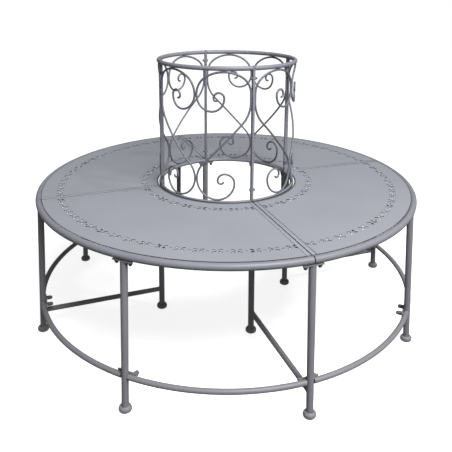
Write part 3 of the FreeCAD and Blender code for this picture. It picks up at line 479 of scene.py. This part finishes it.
def plain_floor(name, rgb, glow):
    """Pale matte floor with a barely uneven tone and a glow of its own that keeps shadows light."""
    finish = Finish(name, Roughness=0.9, Emission_Color=(1, 1, 1, 1), Emission_Strength=glow)
    clouds = finish.noise(width=500, detail=2.0, roughness=0.5)
    return finish.dress(Base_Color=finish.clouded(clouds, rgb, darkest=0.995, palest=1.005))


SLOT_FINISHES = {
    # The seat coat and the frame coat carry painted shade from their masks
    "seat_coat": lambda tint: powder_coat("seat_powder_coat", tint.seat, 0.42, cloud=0.035,
                                          painted_shade=sheet_painted_shade),
    "frame_coat": lambda tint: powder_coat("frame_powder_coat", tint.frame, 0.42, painted_shade=rim_groove_painted_shade),
    "rod_coat": lambda tint: powder_coat("rod_powder_coat", tint.rods, 0.38),
    "leg_coat": lambda tint: powder_coat("leg_powder_coat", tint.legs),
    "feet": lambda tint: moulded_plastic("foot_plastic", tint.feet, tint.dust),
    "nuts": lambda tint: powder_coat("nut_coat", tint.nuts, 0.4),
    "studs": lambda tint: plated_steel("zinc_plate", tint.studs),
}


@functools.cache
def finish_of(slot):
    """The material of one of the record's slots, made the first time that it is asked for."""
    return SLOT_FINISHES[slot](bpy.context.scene.bench_colours)


# Surfaces

def turned_out(points, faces):
    """Six times the volume between the faces and the origin, which is below 0 if they face in."""
    first, *rest = points[faces].swapaxes(0, 1)
    return sum((first * np.cross(second, third)).sum() for second, third in zip(rest, rest[1:]))


def band_quads(here, ahead):
    """Quads between rings of point numbers and the rings ahead of them."""
    beside, opposite = (np.roll(ring, -1, axis=1) for ring in (here, ahead))
    return np.stack([here, ahead, opposite, beside], axis=-1).reshape(-1, 4)


def closed_shape(rings, start, end):
    """Points and faces of a round surface from its rings of points and its two poles.

    Ring i has its points in a circle, j = 0 to sides - 1. A quad joins (i, j), (i + 1, j),
    (i + 1, j + 1) and (i, j + 1), and a triangle joins each pole to two points of its ring.
    """
    count, sides = rings.shape[:2]
    points = np.vstack([rings.reshape(-1, 3), start, end])
    here = np.arange(count * sides).reshape(count, sides)
    beside = np.roll(here, -1, axis=1)
    quads = band_quads(here[:-1], here[1:])
    start_pole = np.full(sides, count * sides)
    first_fan = np.stack([start_pole, here[0], beside[0]], axis=-1)
    last_fan = np.stack([start_pole + 1, beside[-1], here[-1]], axis=-1)
    fans = np.vstack([first_fan, last_fan])
    order = -1 if turned_out(points, quads) + turned_out(points, fans) < 0 else 1
    return points, quads[:, ::order].tolist() + fans[:, ::order].tolist()


def ring_shape(rings):
    """Points and faces of a surface that is closed both ways, such as a bead round a tube."""
    points = rings.reshape(-1, 3)
    here = np.arange(len(points)).reshape(rings.shape[:2])
    quads = band_quads(here, np.roll(here, -1, axis=0))
    order = -1 if turned_out(points, quads) < 0 else 1
    return points, quads[:, ::order].tolist()


def new_piece(name, shapes, slot, stands_for=None, sharp=None):
    """One object from several shapes, with sharp edges from a turn between faces if one is given."""
    points, faces = zip(*shapes)
    starts = np.cumsum([0, *map(len, points)]).tolist()
    joined = [[corner + start for corner in face] for start, part in zip(starts, faces) for face in part]
    mesh = bpy.data.meshes.new(name)
    mesh.from_pydata(np.vstack(points).tolist(), [], joined)
    mesh.shade_smooth()
    if sharp is not None:
        mesh.set_sharp_from_angle(angle=sharp)
    place_piece(bpy.data.objects.new(name, mesh), slot, stands_for)


def place_piece(piece, slot, stands_for=None):
    """Put a piece on the root body, with its slot's finish and in place of a node if one is named."""
    bpy.context.scene.collection.objects.link(piece)
    piece.data.materials.clear()
    piece.data.materials.append(finish_of(slot))
    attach(piece, "root")
    if stands_for is not None:
        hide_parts(stands_for)
    return piece


def unit(rows):
    return rows / np.linalg.norm(rows, axis=-1, keepdims=True)


def even_turns(count):
    """Angles of so many even places round a circle."""
    return np.arange(count) * math.tau / count


def rows_between(places, given, rows):
    """Rows at places between the given ones, each column on straight lines."""
    return np.stack([np.interp(places, given, column) for column in rows.T], axis=-1)


def tube_rings(places, ahead, outward, radii, sides):
    """Rings round a line.

    A ring's points are the line's place plus its radius times (cos t outward + sin t sideways),
    with sideways square to the line.
    """
    sideways = unit(np.cross(ahead, outward))
    out = np.cross(sideways, ahead)
    angle = even_turns(sides)[:, None]
    circle = np.cos(angle) * out[:, None] + np.sin(angle) * sideways[:, None]
    return places[:, None] + radii[:, None, None] * circle


# Scroll rods

def walk(start, heading, moves, step):
    """Places along bends and straight runs laid end to end on a flat sheet.

    A move is (length, turn). It is cut into equal steps. The heading in the middle of a step is
    the first heading plus all turns before it and half of its own, and the chord of a step of
    length d and turn a is d sin(a / 2) / (a / 2) long. The places are the sums of the chords.
    """
    runs, turns = np.array(moves).T
    counts = np.ceil(runs / step).astype(int)
    distance = np.repeat(runs / counts, counts)
    bend = np.repeat(turns / counts, counts)
    ahead = heading + np.cumsum(bend) - bend / 2
    chord = distance * np.sinc(bend / math.tau)
    steps = chord[:, None] * np.stack([np.cos(ahead), np.sin(ahead)], axis=-1)
    return np.vstack([start, start + np.cumsum(steps, axis=0)])


def scroll_line(sizes):
    """The rod's line on the flattened backrest, from its upper end to its lower end.

    Across is measured along the backrest from the middle of a quarter, up is the height. The
    three bends of the crown end level with where they start and as far across as the loop is
    wide, so the middle one takes what the first and the last leave of that width. The slope is
    the common tangent of the shoulder's and the hip's circles.
    """
    gap = sizes.rod / 2 + sizes.weld_gap
    across_post = FLAT_RADIUS * (QUARTER_TURN / 2 - math.asin((sizes.post + gap) / RAIL_RADIUS))
    top = RAIL_LEVEL - RAIL_TUBE / 2 - gap
    bottom = INNER_LEVEL + INNER_TUBE / 2 + gap
    ends = sizes.crown_first + sizes.crown_last
    crown = across_post - gap - ends * (1 - math.cos(sizes.crown_turn))
    rise = math.sin(sizes.crown_turn)
    weld_top = top - sizes.crown_first * rise - crown * (1 - rise)
    weld_bottom = weld_top - sizes.post_run
    quarter = math.pi / 2

    bends = [(radius, sizes.crown_turn) for radius in (sizes.crown_first, crown, sizes.crown_last)]
    bends += [(radius, quarter) for radius in sizes.upper_curl]
    bends.append((sizes.curl_end, sizes.upper_end_turn))
    moves = [(radius * angle, angle) for radius, angle in bends]
    upper = walk(np.array([across_post, weld_top]), quarter, moves, MM)

    reach_across = gap + sizes.hip - (across_post - sizes.shoulder)
    reach_up = bottom + sizes.lower_curl[0] - weld_bottom
    reach = math.hypot(reach_across, reach_up)
    both = sizes.shoulder + sizes.hip
    swing = math.atan2(reach_up, reach_across) - math.asin(both / reach) + quarter
    bends = [(radius, quarter) for radius in sizes.lower_curl]
    bends.append((sizes.curl_end, sizes.lower_end_turn))
    moves = [(sizes.shoulder * abs(swing), swing), (math.sqrt(reach ** 2 - both ** 2), 0),
             (sizes.hip * abs(swing), -swing)]
    moves += [(radius * angle, angle) for radius, angle in bends]
    lower = walk(np.array([across_post, weld_bottom]), -quarter, moves, MM)
    run = walk(np.array([across_post, weld_top]), -quarter, [(sizes.post_run, 0)], MM)
    return np.vstack([upper[::-1], run[1:-1], lower])


def on_cone(across, up, azimuth):
    """Places on the backrest's leaning surface, and its outward direction there.

    The radius falls evenly with height. The angle is the distance across over the flat radius,
    from the quarter's own azimuth.
    """
    radius = INNER_RADIUS - CONE_SLOPE * (up - INNER_LEVEL)
    angle = azimuth + across / FLAT_RADIUS
    places = np.stack([radius * np.cos(angle), radius * np.sin(angle), up], axis=-1)
    outward = np.stack([np.cos(angle), np.sin(angle), np.full_like(angle, CONE_SLOPE)], axis=-1)
    return places, unit(outward)


def round_rod(line, outward, radius, end_round, step):
    """A round rod along a line, with cut ends whose edges are rounded.

    Over the rounding e at an end, at the angle f from the end face, the ring stands e (1 - cos f)
    in and its radius is less by e (1 - sin f).
    """
    travel = np.concatenate([[0], np.cumsum(np.linalg.norm(np.diff(line, axis=0), axis=1))])
    whole = travel[-1]
    angle = np.linspace(0, math.pi / 2, ROUND_RINGS)
    inset = end_round * (1 - np.cos(angle))
    middle = np.linspace(end_round, whole - end_round, int(whole / step))[1:-1]
    stations = np.concatenate([inset, middle, whole - inset[::-1]])
    shrink = end_round * (1 - np.sin(angle))
    radii = radius - np.concatenate([shrink, np.zeros(len(middle)), shrink[::-1]])
    along = unit(np.gradient(line, axis=0))
    place, ahead, out = (rows_between(stations, travel, rows) for rows in (line, along, outward))
    return closed_shape(tube_rings(place, ahead, out, radii, ROD_SIDES), place[0], place[-1])


class TREEBENCH_OT_scroll_rods(bpy.types.Operator):
    """Build the scroll rods of the backrest, two mirrored ones in each quarter"""

    bl_idname = "treebench.scroll_rods"
    bl_label = "Scroll Rods"

    def execute(self, context):
        sizes = context.scene.bench_rods
        line = scroll_line(sizes)
        for quarter in QUARTERS:
            azimuth = (quarter - 0.5) * QUARTER_TURN
            shapes = []
            for mirror in (1, -1):
                places, outward = on_cone(mirror * line[:, 0], line[:, 1], azimuth)
                shapes.append(round_rod(places, outward, sizes.rod / 2, sizes.end_round, sizes.step))
            new_piece(f"scroll_rods_{quarter}", shapes, "rod_coat", f"backrest_scrolls_{quarter}")
        return {"FINISHED"}


# Feet

def arc(reach, level, radius, first, last, rings):
    """Radii and heights along an arc about a point, between two angles over its level."""
    angle = np.linspace(first, last, rings)
    return np.stack([reach + radius * np.cos(angle), level + radius * np.sin(angle)])


def foot_shape(solid, leg_end, lean, leg_diameter, sizes):
    """A foot as rings about an upright axis, with a bore that leans as the leg does.

    Outside, from the sole's middle: the flat sole, a quarter round edge, the belly, the shoulder
    as an arc up to the top's radius and a rounded lip. Inside, the bore's rings have their
    middles on the leg's line, down to the sole's thickness.
    """
    wide, top = np.ptp(solid[:, 0]) / 2, solid[:, 2].max()
    edge, dome, lip = sizes.foot_edge, sizes.foot_dome, sizes.foot_lip
    neck, bore = sizes.foot_neck / 2, leg_diameter / 2 + sizes.foot_fit
    quarter = math.pi / 2
    edge_rings, dome_rings, lip_rings = FOOT_RINGS
    outside = np.hstack([
        arc(wide - edge, edge, edge, -quarter, 0, edge_rings),
        arc(wide - dome, sizes.foot_belly, dome, 0, math.acos(1 - (wide - neck) / dome), dome_rings),
        arc(neck - lip, top - lip, lip, 0, quarter, lip_rings),
        arc(bore + lip, top - lip, lip, quarter, 2 * quarter, lip_rings)])
    depth = np.linspace(top - lip, sizes.foot_sole, ROUND_RINGS)[1:]
    radius, height = np.hstack([outside, [np.full_like(depth, bore), depth]])

    centre = np.tile(box_middle(solid)[:2], (len(radius), 1))
    centre[-len(depth):] = leg_end[:2] + lean * (depth[:, None] - leg_end[2])
    angle = even_turns(FOOT_SIDES)
    rings = np.empty((len(radius), FOOT_SIDES, 3))
    rings[..., 0] = centre[:, :1] + radius[:, None] * np.cos(angle)
    rings[..., 1] = centre[:, 1:] + radius[:, None] * np.sin(angle)
    rings[..., 2] = height[:, None]
    return closed_shape(rings, [*centre[0], 0], [*centre[-1], sizes.foot_sole])


class TREEBENCH_OT_feet(bpy.types.Operator):
    """Build the moulded feet round the legs' lower ends"""

    bl_idname = "treebench.feet"
    bl_label = "Feet"

    def execute(self, context):
        sizes = context.scene.bench_details
        ends = {name: tube_ends(name) for name in leg_names()}
        for solid in islands("leg_feet"):
            middle = box_middle(solid)
            name = min(ends, key=lambda leg: np.hypot(*(ends[leg][0] - middle)[:2]))
            low, high, diameter = ends[name]
            lean = (high - low)[:2] / (high - low)[2]
            foot = foot_shape(solid, low, lean, diameter, sizes)
            new_piece(name + "_foot", [foot], "feet", "leg_feet")
        return {"FINISHED"}


# Domed nuts and bolt heads

# Radius of a bevel's circle on a nut's face and of a bolt head's flat top, in halves of the flats
BEVEL_CIRCLE = 0.98
HEAD_FLAT = 0.92


def hexagon_shape(face, axis, corner, flats, hexagon, chamfer, crown):
    """A hexagon from its seat face along its axis, with a round crown beyond it.

    The hexagon's radius at the angle t from a corner is half the flats over the cosine of the
    angle to the nearest flat. Near both of its faces it is held inside a cone, which cuts the
    corners off in arcs. The crown is a list of levels and radii that ends at the tip.
    """
    half = flats / 2
    reach = half / math.cos(math.pi / 6)
    angle = even_turns(NUT_SIDES)
    hexagonal = half / np.cos(angle % (math.pi / 3) - math.pi / 6)
    share = np.linspace(0, 1, ROUND_RINGS)
    cone = half * BEVEL_CIRCLE + (reach - half * BEVEL_CIRCLE) * share
    levels = np.concatenate([chamfer * share, hexagon - chamfer * share[::-1], crown[0][:-1]])
    radii = np.minimum(hexagonal[None, :], np.concatenate([cone, cone[::-1]])[:, None])
    radii = np.vstack([radii, np.repeat(crown[1][:-1, None], NUT_SIDES, axis=1)])
    across = np.cross(axis, corner)
    circle = np.cos(angle)[:, None] * corner + np.sin(angle)[:, None] * across
    rings = face + levels[:, None, None] * axis + radii[..., None] * circle
    return closed_shape(rings, face, face + crown[0][-1] * axis)


def dome_crown(flats, height, hexagon, dome_step):
    """Levels and radii of a short neck on the hexagon and of a half ball on the neck."""
    dome = flats / 2 - dome_step
    swing = np.linspace(0, math.pi / 2, DOME_RINGS)
    levels = np.concatenate([[hexagon], height - dome + dome * np.sin(swing)])
    return levels, np.concatenate([[dome], dome * np.cos(swing)])


def seat_face(solid, axis):
    """Middle of a solid's face at its low end along an axis, and its length along the axis."""
    travel = solid @ axis
    ring = solid[travel < travel.min() + SAME_LEVEL]
    flat = ring - (ring @ axis)[:, None] * axis
    return box_middle(flat) + travel.min() * axis, np.ptp(travel)


def axes_at(azimuth):
    """Level directions at an azimuth: outwards, and a quarter turn on from it."""
    outward = np.array([math.cos(azimuth), math.sin(azimuth), 0.0])
    return outward, np.cross(UP, outward)


def axes_of(solid, even):
    """The same at a solid's azimuth, rounded to a whole number of even turns round the bench."""
    middle = box_middle(solid)
    return axes_at(round(math.atan2(middle[1], middle[0]) / even) * even)


class TREEBENCH_OT_nuts(bpy.types.Operator):
    """Build the domed nuts and the bolt heads with bevelled corners"""

    bl_idname = "treebench.nuts"
    bl_label = "Nuts"

    def execute(self, context):
        sizes = context.scene.bench_details
        rows = (
            ("seat_cap_nuts", "seat_nuts", QUARTER_TURN / 2, sizes.seat_nut,
             lambda outward, along: (-UP, outward)),
            ("ring_cap_nuts", "ring_nuts", QUARTER_TURN / 2, sizes.ring_nut,
             lambda outward, along: (-outward, UP)),
            ("backrest_cap_nuts", "post_nuts", QUARTER_TURN, sizes.post_nut,
             lambda outward, along: (along, outward)),
        )
        for node, name, even, (flats, hexagon), directions in rows:
            shapes = []
            for solid in islands(node):
                axis, corner = directions(*axes_of(solid, even))
                face, height = seat_face(solid, axis)
                crown = dome_crown(flats, height, hexagon, sizes.nut_dome_step)
                shapes.append(hexagon_shape(face, axis, corner, flats, hexagon, sizes.nut_chamfer,
                                            crown))
            new_piece(name, shapes, "nuts", node, NUT_TURN)

        shapes = []
        flats, height = sizes.post_nut[0], sizes.post_head
        for solid in islands("backrest_bolts"):
            outward, along = axes_of(solid, QUARTER_TURN)
            head_end, whole = seat_face(solid, along)
            face = head_end + height * along
            top = (np.array([height, height]), np.array([flats / 2 * HEAD_FLAT, 0.0]))
            shapes.append(hexagon_shape(face, -along, outward, flats, height, sizes.nut_chamfer, top))
            line = face + np.linspace(0, whole - height, ROUND_RINGS)[:, None] * along
            shapes.append(round_rod(line, np.tile(outward, (ROUND_RINGS, 1)), sizes.post_bolt / 2,
                                    sizes.bolt_round, MM))
        new_piece("post_bolts", shapes, "nuts", "backrest_bolts", NUT_TURN)
        return {"FINISHED"}


# Weld beads

# Swell of a bead's ripples, in radii of the bead
RIPPLE = 0.13
# Round a tube from one side of its top by its underside to the other, with the top left free
UNDER_TURN = np.radians(np.linspace(128, 412, 41))
# How far a bead's middle stands off: under a leg's top, beside a leg and before a bracket in radii
# of the bead, and beside a rod's middle in radii of the rod
TOP_OFFSET, LEG_OFFSET, BRACKET_OFFSET, ROD_OFFSET = 0.6, 0.3, 0.55, 0.7
# Part of a bracket's height that its beads cover
BRACKET_PART = (0.08, 0.92)


def bead_loop(path, outward, radius, pitch):
    """A rippled weld bead along a closed path.

    The bead is a tube whose radius is its own times 1 + r cos(n t), for n whole ripples of the
    swell r over the turn t of the path.
    """
    ahead = unit(np.roll(path, -1, axis=0) - np.roll(path, 1, axis=0))
    perimeter = np.linalg.norm(np.roll(path, -1, axis=0) - path, axis=1).sum()
    swell = radius * (1 + RIPPLE * np.cos(round(perimeter / pitch) * even_turns(len(path))))
    return ring_shape(tube_rings(path, ahead, outward, swell, BEAD_SIDES))


def bead_run(path, outward, radius, pitch):
    """A rippled weld bead along an open path, drawn in to a point at both ends.

    At the share s of its length from its middle, -1 to 1, its radius is the bead's own times
    (1 - s^4)^0.5 and the ripple of the closed bead.
    """
    share = np.sin(np.linspace(-math.pi / 2, math.pi / 2, len(path) * 3)[1:-1])
    given = np.linspace(-1, 1, len(path))
    place, out = (rows_between(share, given, rows) for rows in (path, outward))
    whole = np.linalg.norm(np.diff(path, axis=0), axis=1).sum()
    swell = radius * np.sqrt(1 - share ** 4) * (1 + RIPPLE * np.cos(math.pi * whole / pitch * share))
    rings = tube_rings(place, unit(np.gradient(place, axis=0)), out, swell, BEAD_SIDES)
    return closed_shape(rings, path[0], path[-1])


def round_path(middle, first, second, radius, angles):
    """Places on a circle at the angles from its first direction, and their directions outwards."""
    outward = np.cos(angles)[:, None] * first + np.sin(angles)[:, None] * second
    return middle + radius * outward, outward


class TREEBENCH_OT_leg_welds(bpy.types.Operator):
    """Build the weld beads at the legs' tops, the stretchers' ends and the ring's brackets"""

    bl_idname = "treebench.leg_welds"
    bl_label = "Leg Welds"

    def execute(self, context):
        sizes = context.scene.bench_details
        east, north = np.eye(3)[:2]
        whole_turn = even_turns(LOOP_PLACES)
        beads = []
        for name in leg_names():
            low, high, diameter = tube_ends(name)
            middle = high - TOP_OFFSET * sizes.bead * UP
            path, away = round_path(middle, east, north, diameter / 2, whole_turn)
            beads.append(bead_loop(path, away, sizes.bead, sizes.bead_pitch))
        for quarter in QUARTERS:
            outward, along = axes_at((quarter - 1) * QUARTER_TURN)
            stretcher = node_points(f"leg_stretcher_{quarter}")
            level = (stretcher[:, 2].min() + stretcher[:, 2].max()) / 2
            radius = np.ptp(stretcher[:, 2]) / 2
            for name, side in ((f"inner_leg_{quarter}", 1), (f"outer_leg_seam_{quarter}", -1)):
                low, high, diameter = tube_ends(name)
                lean = (high - low) / (high - low)[2]
                place, away = round_path(level * UP, along, UP, radius, whole_turn)
                at_height = low + (place[:, 2:] - low[2]) * lean
                sideways = place @ along
                reach = at_height @ outward + side * np.sqrt((diameter / 2) ** 2 - sideways ** 2)
                path = place + (reach + side * LEG_OFFSET * sizes.bead)[:, None] * outward
                beads.append(bead_loop(path, away, sizes.bead, sizes.bead_pitch))
        for solid in islands("ring_brackets"):
            outward, along = axes_of(solid, QUARTER_TURN / 2)
            low, high = solid[:, 2].min(), solid[:, 2].max()
            ends = [((solid[np.abs(solid[:, 2] - level) < SAME_LEVEL] @ outward).max()
                     + BRACKET_OFFSET * sizes.bead) * outward + level * UP for level in (low, high)]
            part = np.linspace(*BRACKET_PART, RUN_PLACES)[:, None]
            for side in (-1, 1):
                path = ends[0] + part * (ends[1] - ends[0]) + side * sizes.bracket_bead * along
                away = np.tile(along, (RUN_PLACES, 1))
                beads.append(bead_run(path, away, sizes.bead, sizes.bead_pitch))
        new_piece("leg_welds", beads, "leg_coat")
        return {"FINISHED"}


class TREEBENCH_OT_backrest_welds(bpy.types.Operator):
    """Build the weld beads between the rods, the posts, the rail and the inner rim"""

    bl_idname = "treebench.backrest_welds"
    bl_label = "Backrest Welds"

    def execute(self, context):
        rods = context.scene.bench_rods
        sizes = context.scene.bench_details
        line = scroll_line(rods)
        across, up = line.T
        upper = up > (RAIL_LEVEL + INNER_LEVEL) / 2
        # Places of the line that touch something, and the direction towards it
        contacts = (
            (np.argmax(across), (1, 0)),
            (np.argmax(up), (0, 1)),
            (np.argmin(up), (0, -1)),
            (np.argmin(np.where(upper, across, np.inf)), (-1, 0)),
            (np.argmin(np.where(upper, np.inf, across)), (-1, 0)),
        )
        beads = []
        for quarter in QUARTERS:
            azimuth = (quarter - 0.5) * QUARTER_TURN
            for index, toward in contacts:
                toward = np.array(toward)
                touch = line[index] + toward * rods.rod / 2
                run = np.linspace(-0.5, 0.5, RUN_PLACES)[:, None] * sizes.bead_run * toward[::-1]
                for mirror in (1, -1):
                    spread = (touch + run) * (mirror, 1)
                    places, outward = on_cone(spread[:, 0], spread[:, 1], azimuth)
                    for side in (-1, 1):
                        path = places + side * ROD_OFFSET * rods.rod / 2 * outward
                        beads.append(bead_run(path, outward, sizes.fine_bead, sizes.bead_pitch))
        for seam in QUARTERS:
            outward, along = axes_at((seam - 1) * QUARTER_TURN)
            for radius, level, tube in ((INNER_RADIUS, INNER_LEVEL, INNER_TUBE),
                                        (RAIL_RADIUS, RAIL_LEVEL, RAIL_TUBE)):
                for side in (-1, 1):
                    middle = radius * outward + level * UP
                    middle += side * (rods.post + rods.weld_gap) * along
                    path, away = round_path(middle, outward, UP, tube / 2, UNDER_TURN)
                    beads.append(bead_run(path, away, sizes.fine_bead, sizes.bead_pitch))
        new_piece("backrest_welds", beads, "rod_coat")
        return {"FINISHED"}


# Rounded bars, plates and sheets

# Turn up to which two faces are one, and from which an edge is rounded, or sharp on a nut
FLAT_TURN, EDGE_TURN, NUT_TURN = (math.radians(degrees) for degrees in (1, 40, 28))
EDGE_SEGMENTS = 2


def rounded_copy(node, name, slot, edge):
    """A node's own shape with its points merged, its flat faces whole and its edges rounded."""
    work = bmesh.new()
    work.from_mesh(frame["nodes"][node].data)
    bmesh.ops.remove_doubles(work, verts=work.verts, dist=SAME_PLACE)
    bmesh.ops.dissolve_limit(work, angle_limit=FLAT_TURN, verts=work.verts, edges=work.edges)
    mesh = bpy.data.meshes.new(name)
    work.to_mesh(mesh)
    work.free()
    mesh.shade_smooth()
    piece = place_piece(bpy.data.objects.new(name, mesh), slot, node)
    bevel = piece.modifiers.new("rounded_edges", "BEVEL")
    bevel.width = edge
    bevel.segments = EDGE_SEGMENTS
    bevel.limit_method = "ANGLE"
    bevel.angle_limit = EDGE_TURN
    bevel.harden_normals = True


class TREEBENCH_OT_flat_pieces(bpy.types.Operator):
    """Round the edges of the posts, the bars, the plates and the brackets"""

    bl_idname = "treebench.flat_pieces"
    bl_label = "Flat Pieces"

    def execute(self, context):
        sizes = context.scene.bench_details
        for quarter in QUARTERS:
            for node, name, slot in (("backrest_posts", "flat_posts", "frame_coat"),
                                     ("seat_side_bars", "side_bars", "seat_coat")):
                rounded_copy(f"{node}_{quarter}", f"{name}_{quarter}", slot, sizes.bar_edge)
        for node, name, slot in (("seat_mid_bars", "mid_bars", "frame_coat"),
                                 ("leg_top_plates", "top_plates", "frame_coat"),
                                 ("ring_brackets", "brackets", "leg_coat")):
            rounded_copy(node, name, slot, sizes.bar_edge)
        return {"FINISHED"}


class TREEBENCH_OT_coat(bpy.types.Operator):
    """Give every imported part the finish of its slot"""

    bl_idname = "treebench.coat"
    bl_label = "Coat"

    def execute(self, context):
        for part in frame["record"]["subparts"]:
            node = frame["nodes"][part["node"]]
            node.data.materials.clear()
            node.data.materials.append(finish_of(part["material_slot"]))
        return {"FINISHED"}


# Stage

def add_lamp(kind, name, energy, azimuth, height, distance, **looks):
    """A lamp at an azimuth from -Y and a height, seen from the bench's middle, that faces it."""
    lamp = bpy.data.lights.new(name, kind)
    lamp.energy = energy
    for look, value in looks.items():
        setattr(lamp, look, value)
    light = bpy.data.objects.new(name, lamp)
    turned = Matrix.Rotation(azimuth, 4, "Z") @ Matrix.Rotation(math.pi / 2 - height, 4, "X")
    light.matrix_world = turned @ Matrix.Translation((0, 0, distance))
    bpy.context.scene.collection.objects.link(light)


class TREEBENCH_OT_stage(bpy.types.Operator):
    """Set up the pale floor, the soft light and the camera"""

    bl_idname = "treebench.stage"
    bl_label = "Stage"

    def execute(self, context):
        scene = context.scene
        sizes = scene.bench_stage
        bpy.ops.mesh.primitive_circle_add(vertices=FLOOR_SIDES, radius=sizes.floor_reach,
                                          fill_type="TRIFAN")
        floor = context.object
        floor.name = "floor"
        floor.data.materials.append(plain_floor("pale_floor", scene.bench_colours.floor,
                                                sizes.floor_glow))
        floor.visible_diffuse = False
        floor.visible_glossy = False

        world = bpy.data.worlds.new("studio")
        scene.world = world
        world.use_nodes = True
        nodes = world.node_tree.nodes
        links = world.node_tree.links
        path = nodes.new("ShaderNodeLightPath")
        strength = nodes.new("ShaderNodeMapRange")
        strength.inputs["To Min"].default_value = sizes.sky
        links.new(path.outputs["Is Camera Ray"], strength.inputs["Value"])
        links.new(strength.outputs[0], nodes["Background"].inputs["Strength"])
        nodes["Background"].inputs["Color"].default_value = (1, 1, 1, 1)

        # At the distance d a round lamp brings a light of its power over pi d squared
        away = sizes.key_distance
        add_lamp("AREA", "key_light", sizes.key_strength * math.pi * away ** 2,
                 sizes.azimuth + sizes.key_side, sizes.key_height, away, shape="DISK",
                 size=2 * away * math.tan(sizes.key_spread / 2))
        add_lamp("SUN", "side_light", sizes.side_strength, sizes.azimuth + sizes.side_turn,
                 sizes.side_height, 0, angle=sizes.side_spread)

        lens = bpy.data.cameras.new("camera")
        lens.lens = sizes.lens
        camera = bpy.data.objects.new("camera", lens)
        turned = Matrix.Rotation(sizes.azimuth, 4, "Z")
        place = Matrix.Translation((0, -sizes.distance, sizes.height))
        aim = Matrix.Rotation(sizes.tilt, 4, "X") @ Matrix.Rotation(sizes.roll, 4, "Z")
        camera.matrix_world = turned @ place @ aim
        scene.collection.objects.link(camera)
        scene.camera = camera
        scene.view_settings.view_transform = "Standard"
        return {"FINISHED"}


class TREEBENCH_PT_panel(bpy.types.Panel):
    """All steps of the bench in the sidebar"""

    bl_idname = "TREEBENCH_PT_panel"
    bl_label = "Tree Bench"
    bl_space_type = "VIEW_3D"
    bl_region_type = "UI"
    bl_category = "Tree Bench"

    def draw(self, context):
        for step in STEPS:
            self.layout.operator(step.bl_idname)
        for name in SETTINGS:
            box = self.layout.box()
            settings = getattr(context.scene, name)
            box.label(text=settings.bl_rna.description)
            for key in settings.__annotations__:
                box.prop(settings, key)


SETTINGS = {"bench_rods": RodSizes, "bench_details": DetailSizes, "bench_colours": Colours,
            "bench_stage": StageSizes}
STEPS = (TREEBENCH_OT_stage, TREEBENCH_OT_coat, TREEBENCH_OT_scroll_rods, TREEBENCH_OT_feet,
         TREEBENCH_OT_flat_pieces, TREEBENCH_OT_nuts, TREEBENCH_OT_leg_welds,
         TREEBENCH_OT_backrest_welds)


def register():
    for name, group in SETTINGS.items():
        bpy.utils.register_class(group)
        setattr(bpy.types.Scene, name, PointerProperty(type=group))
    for step in (*STEPS, TREEBENCH_PT_panel):
        bpy.utils.register_class(step)


def unregister():
    for step in (TREEBENCH_PT_panel, *reversed(STEPS)):
        bpy.utils.unregister_class(step)
    for name, group in reversed(SETTINGS.items()):
        delattr(bpy.types.Scene, name)
        bpy.utils.unregister_class(group)


def main():
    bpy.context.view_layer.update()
    register()
    for step in STEPS:
        getattr(bpy.ops.treebench, step.bl_idname.partition(".")[2])()


if __name__ == "__main__":
    main()
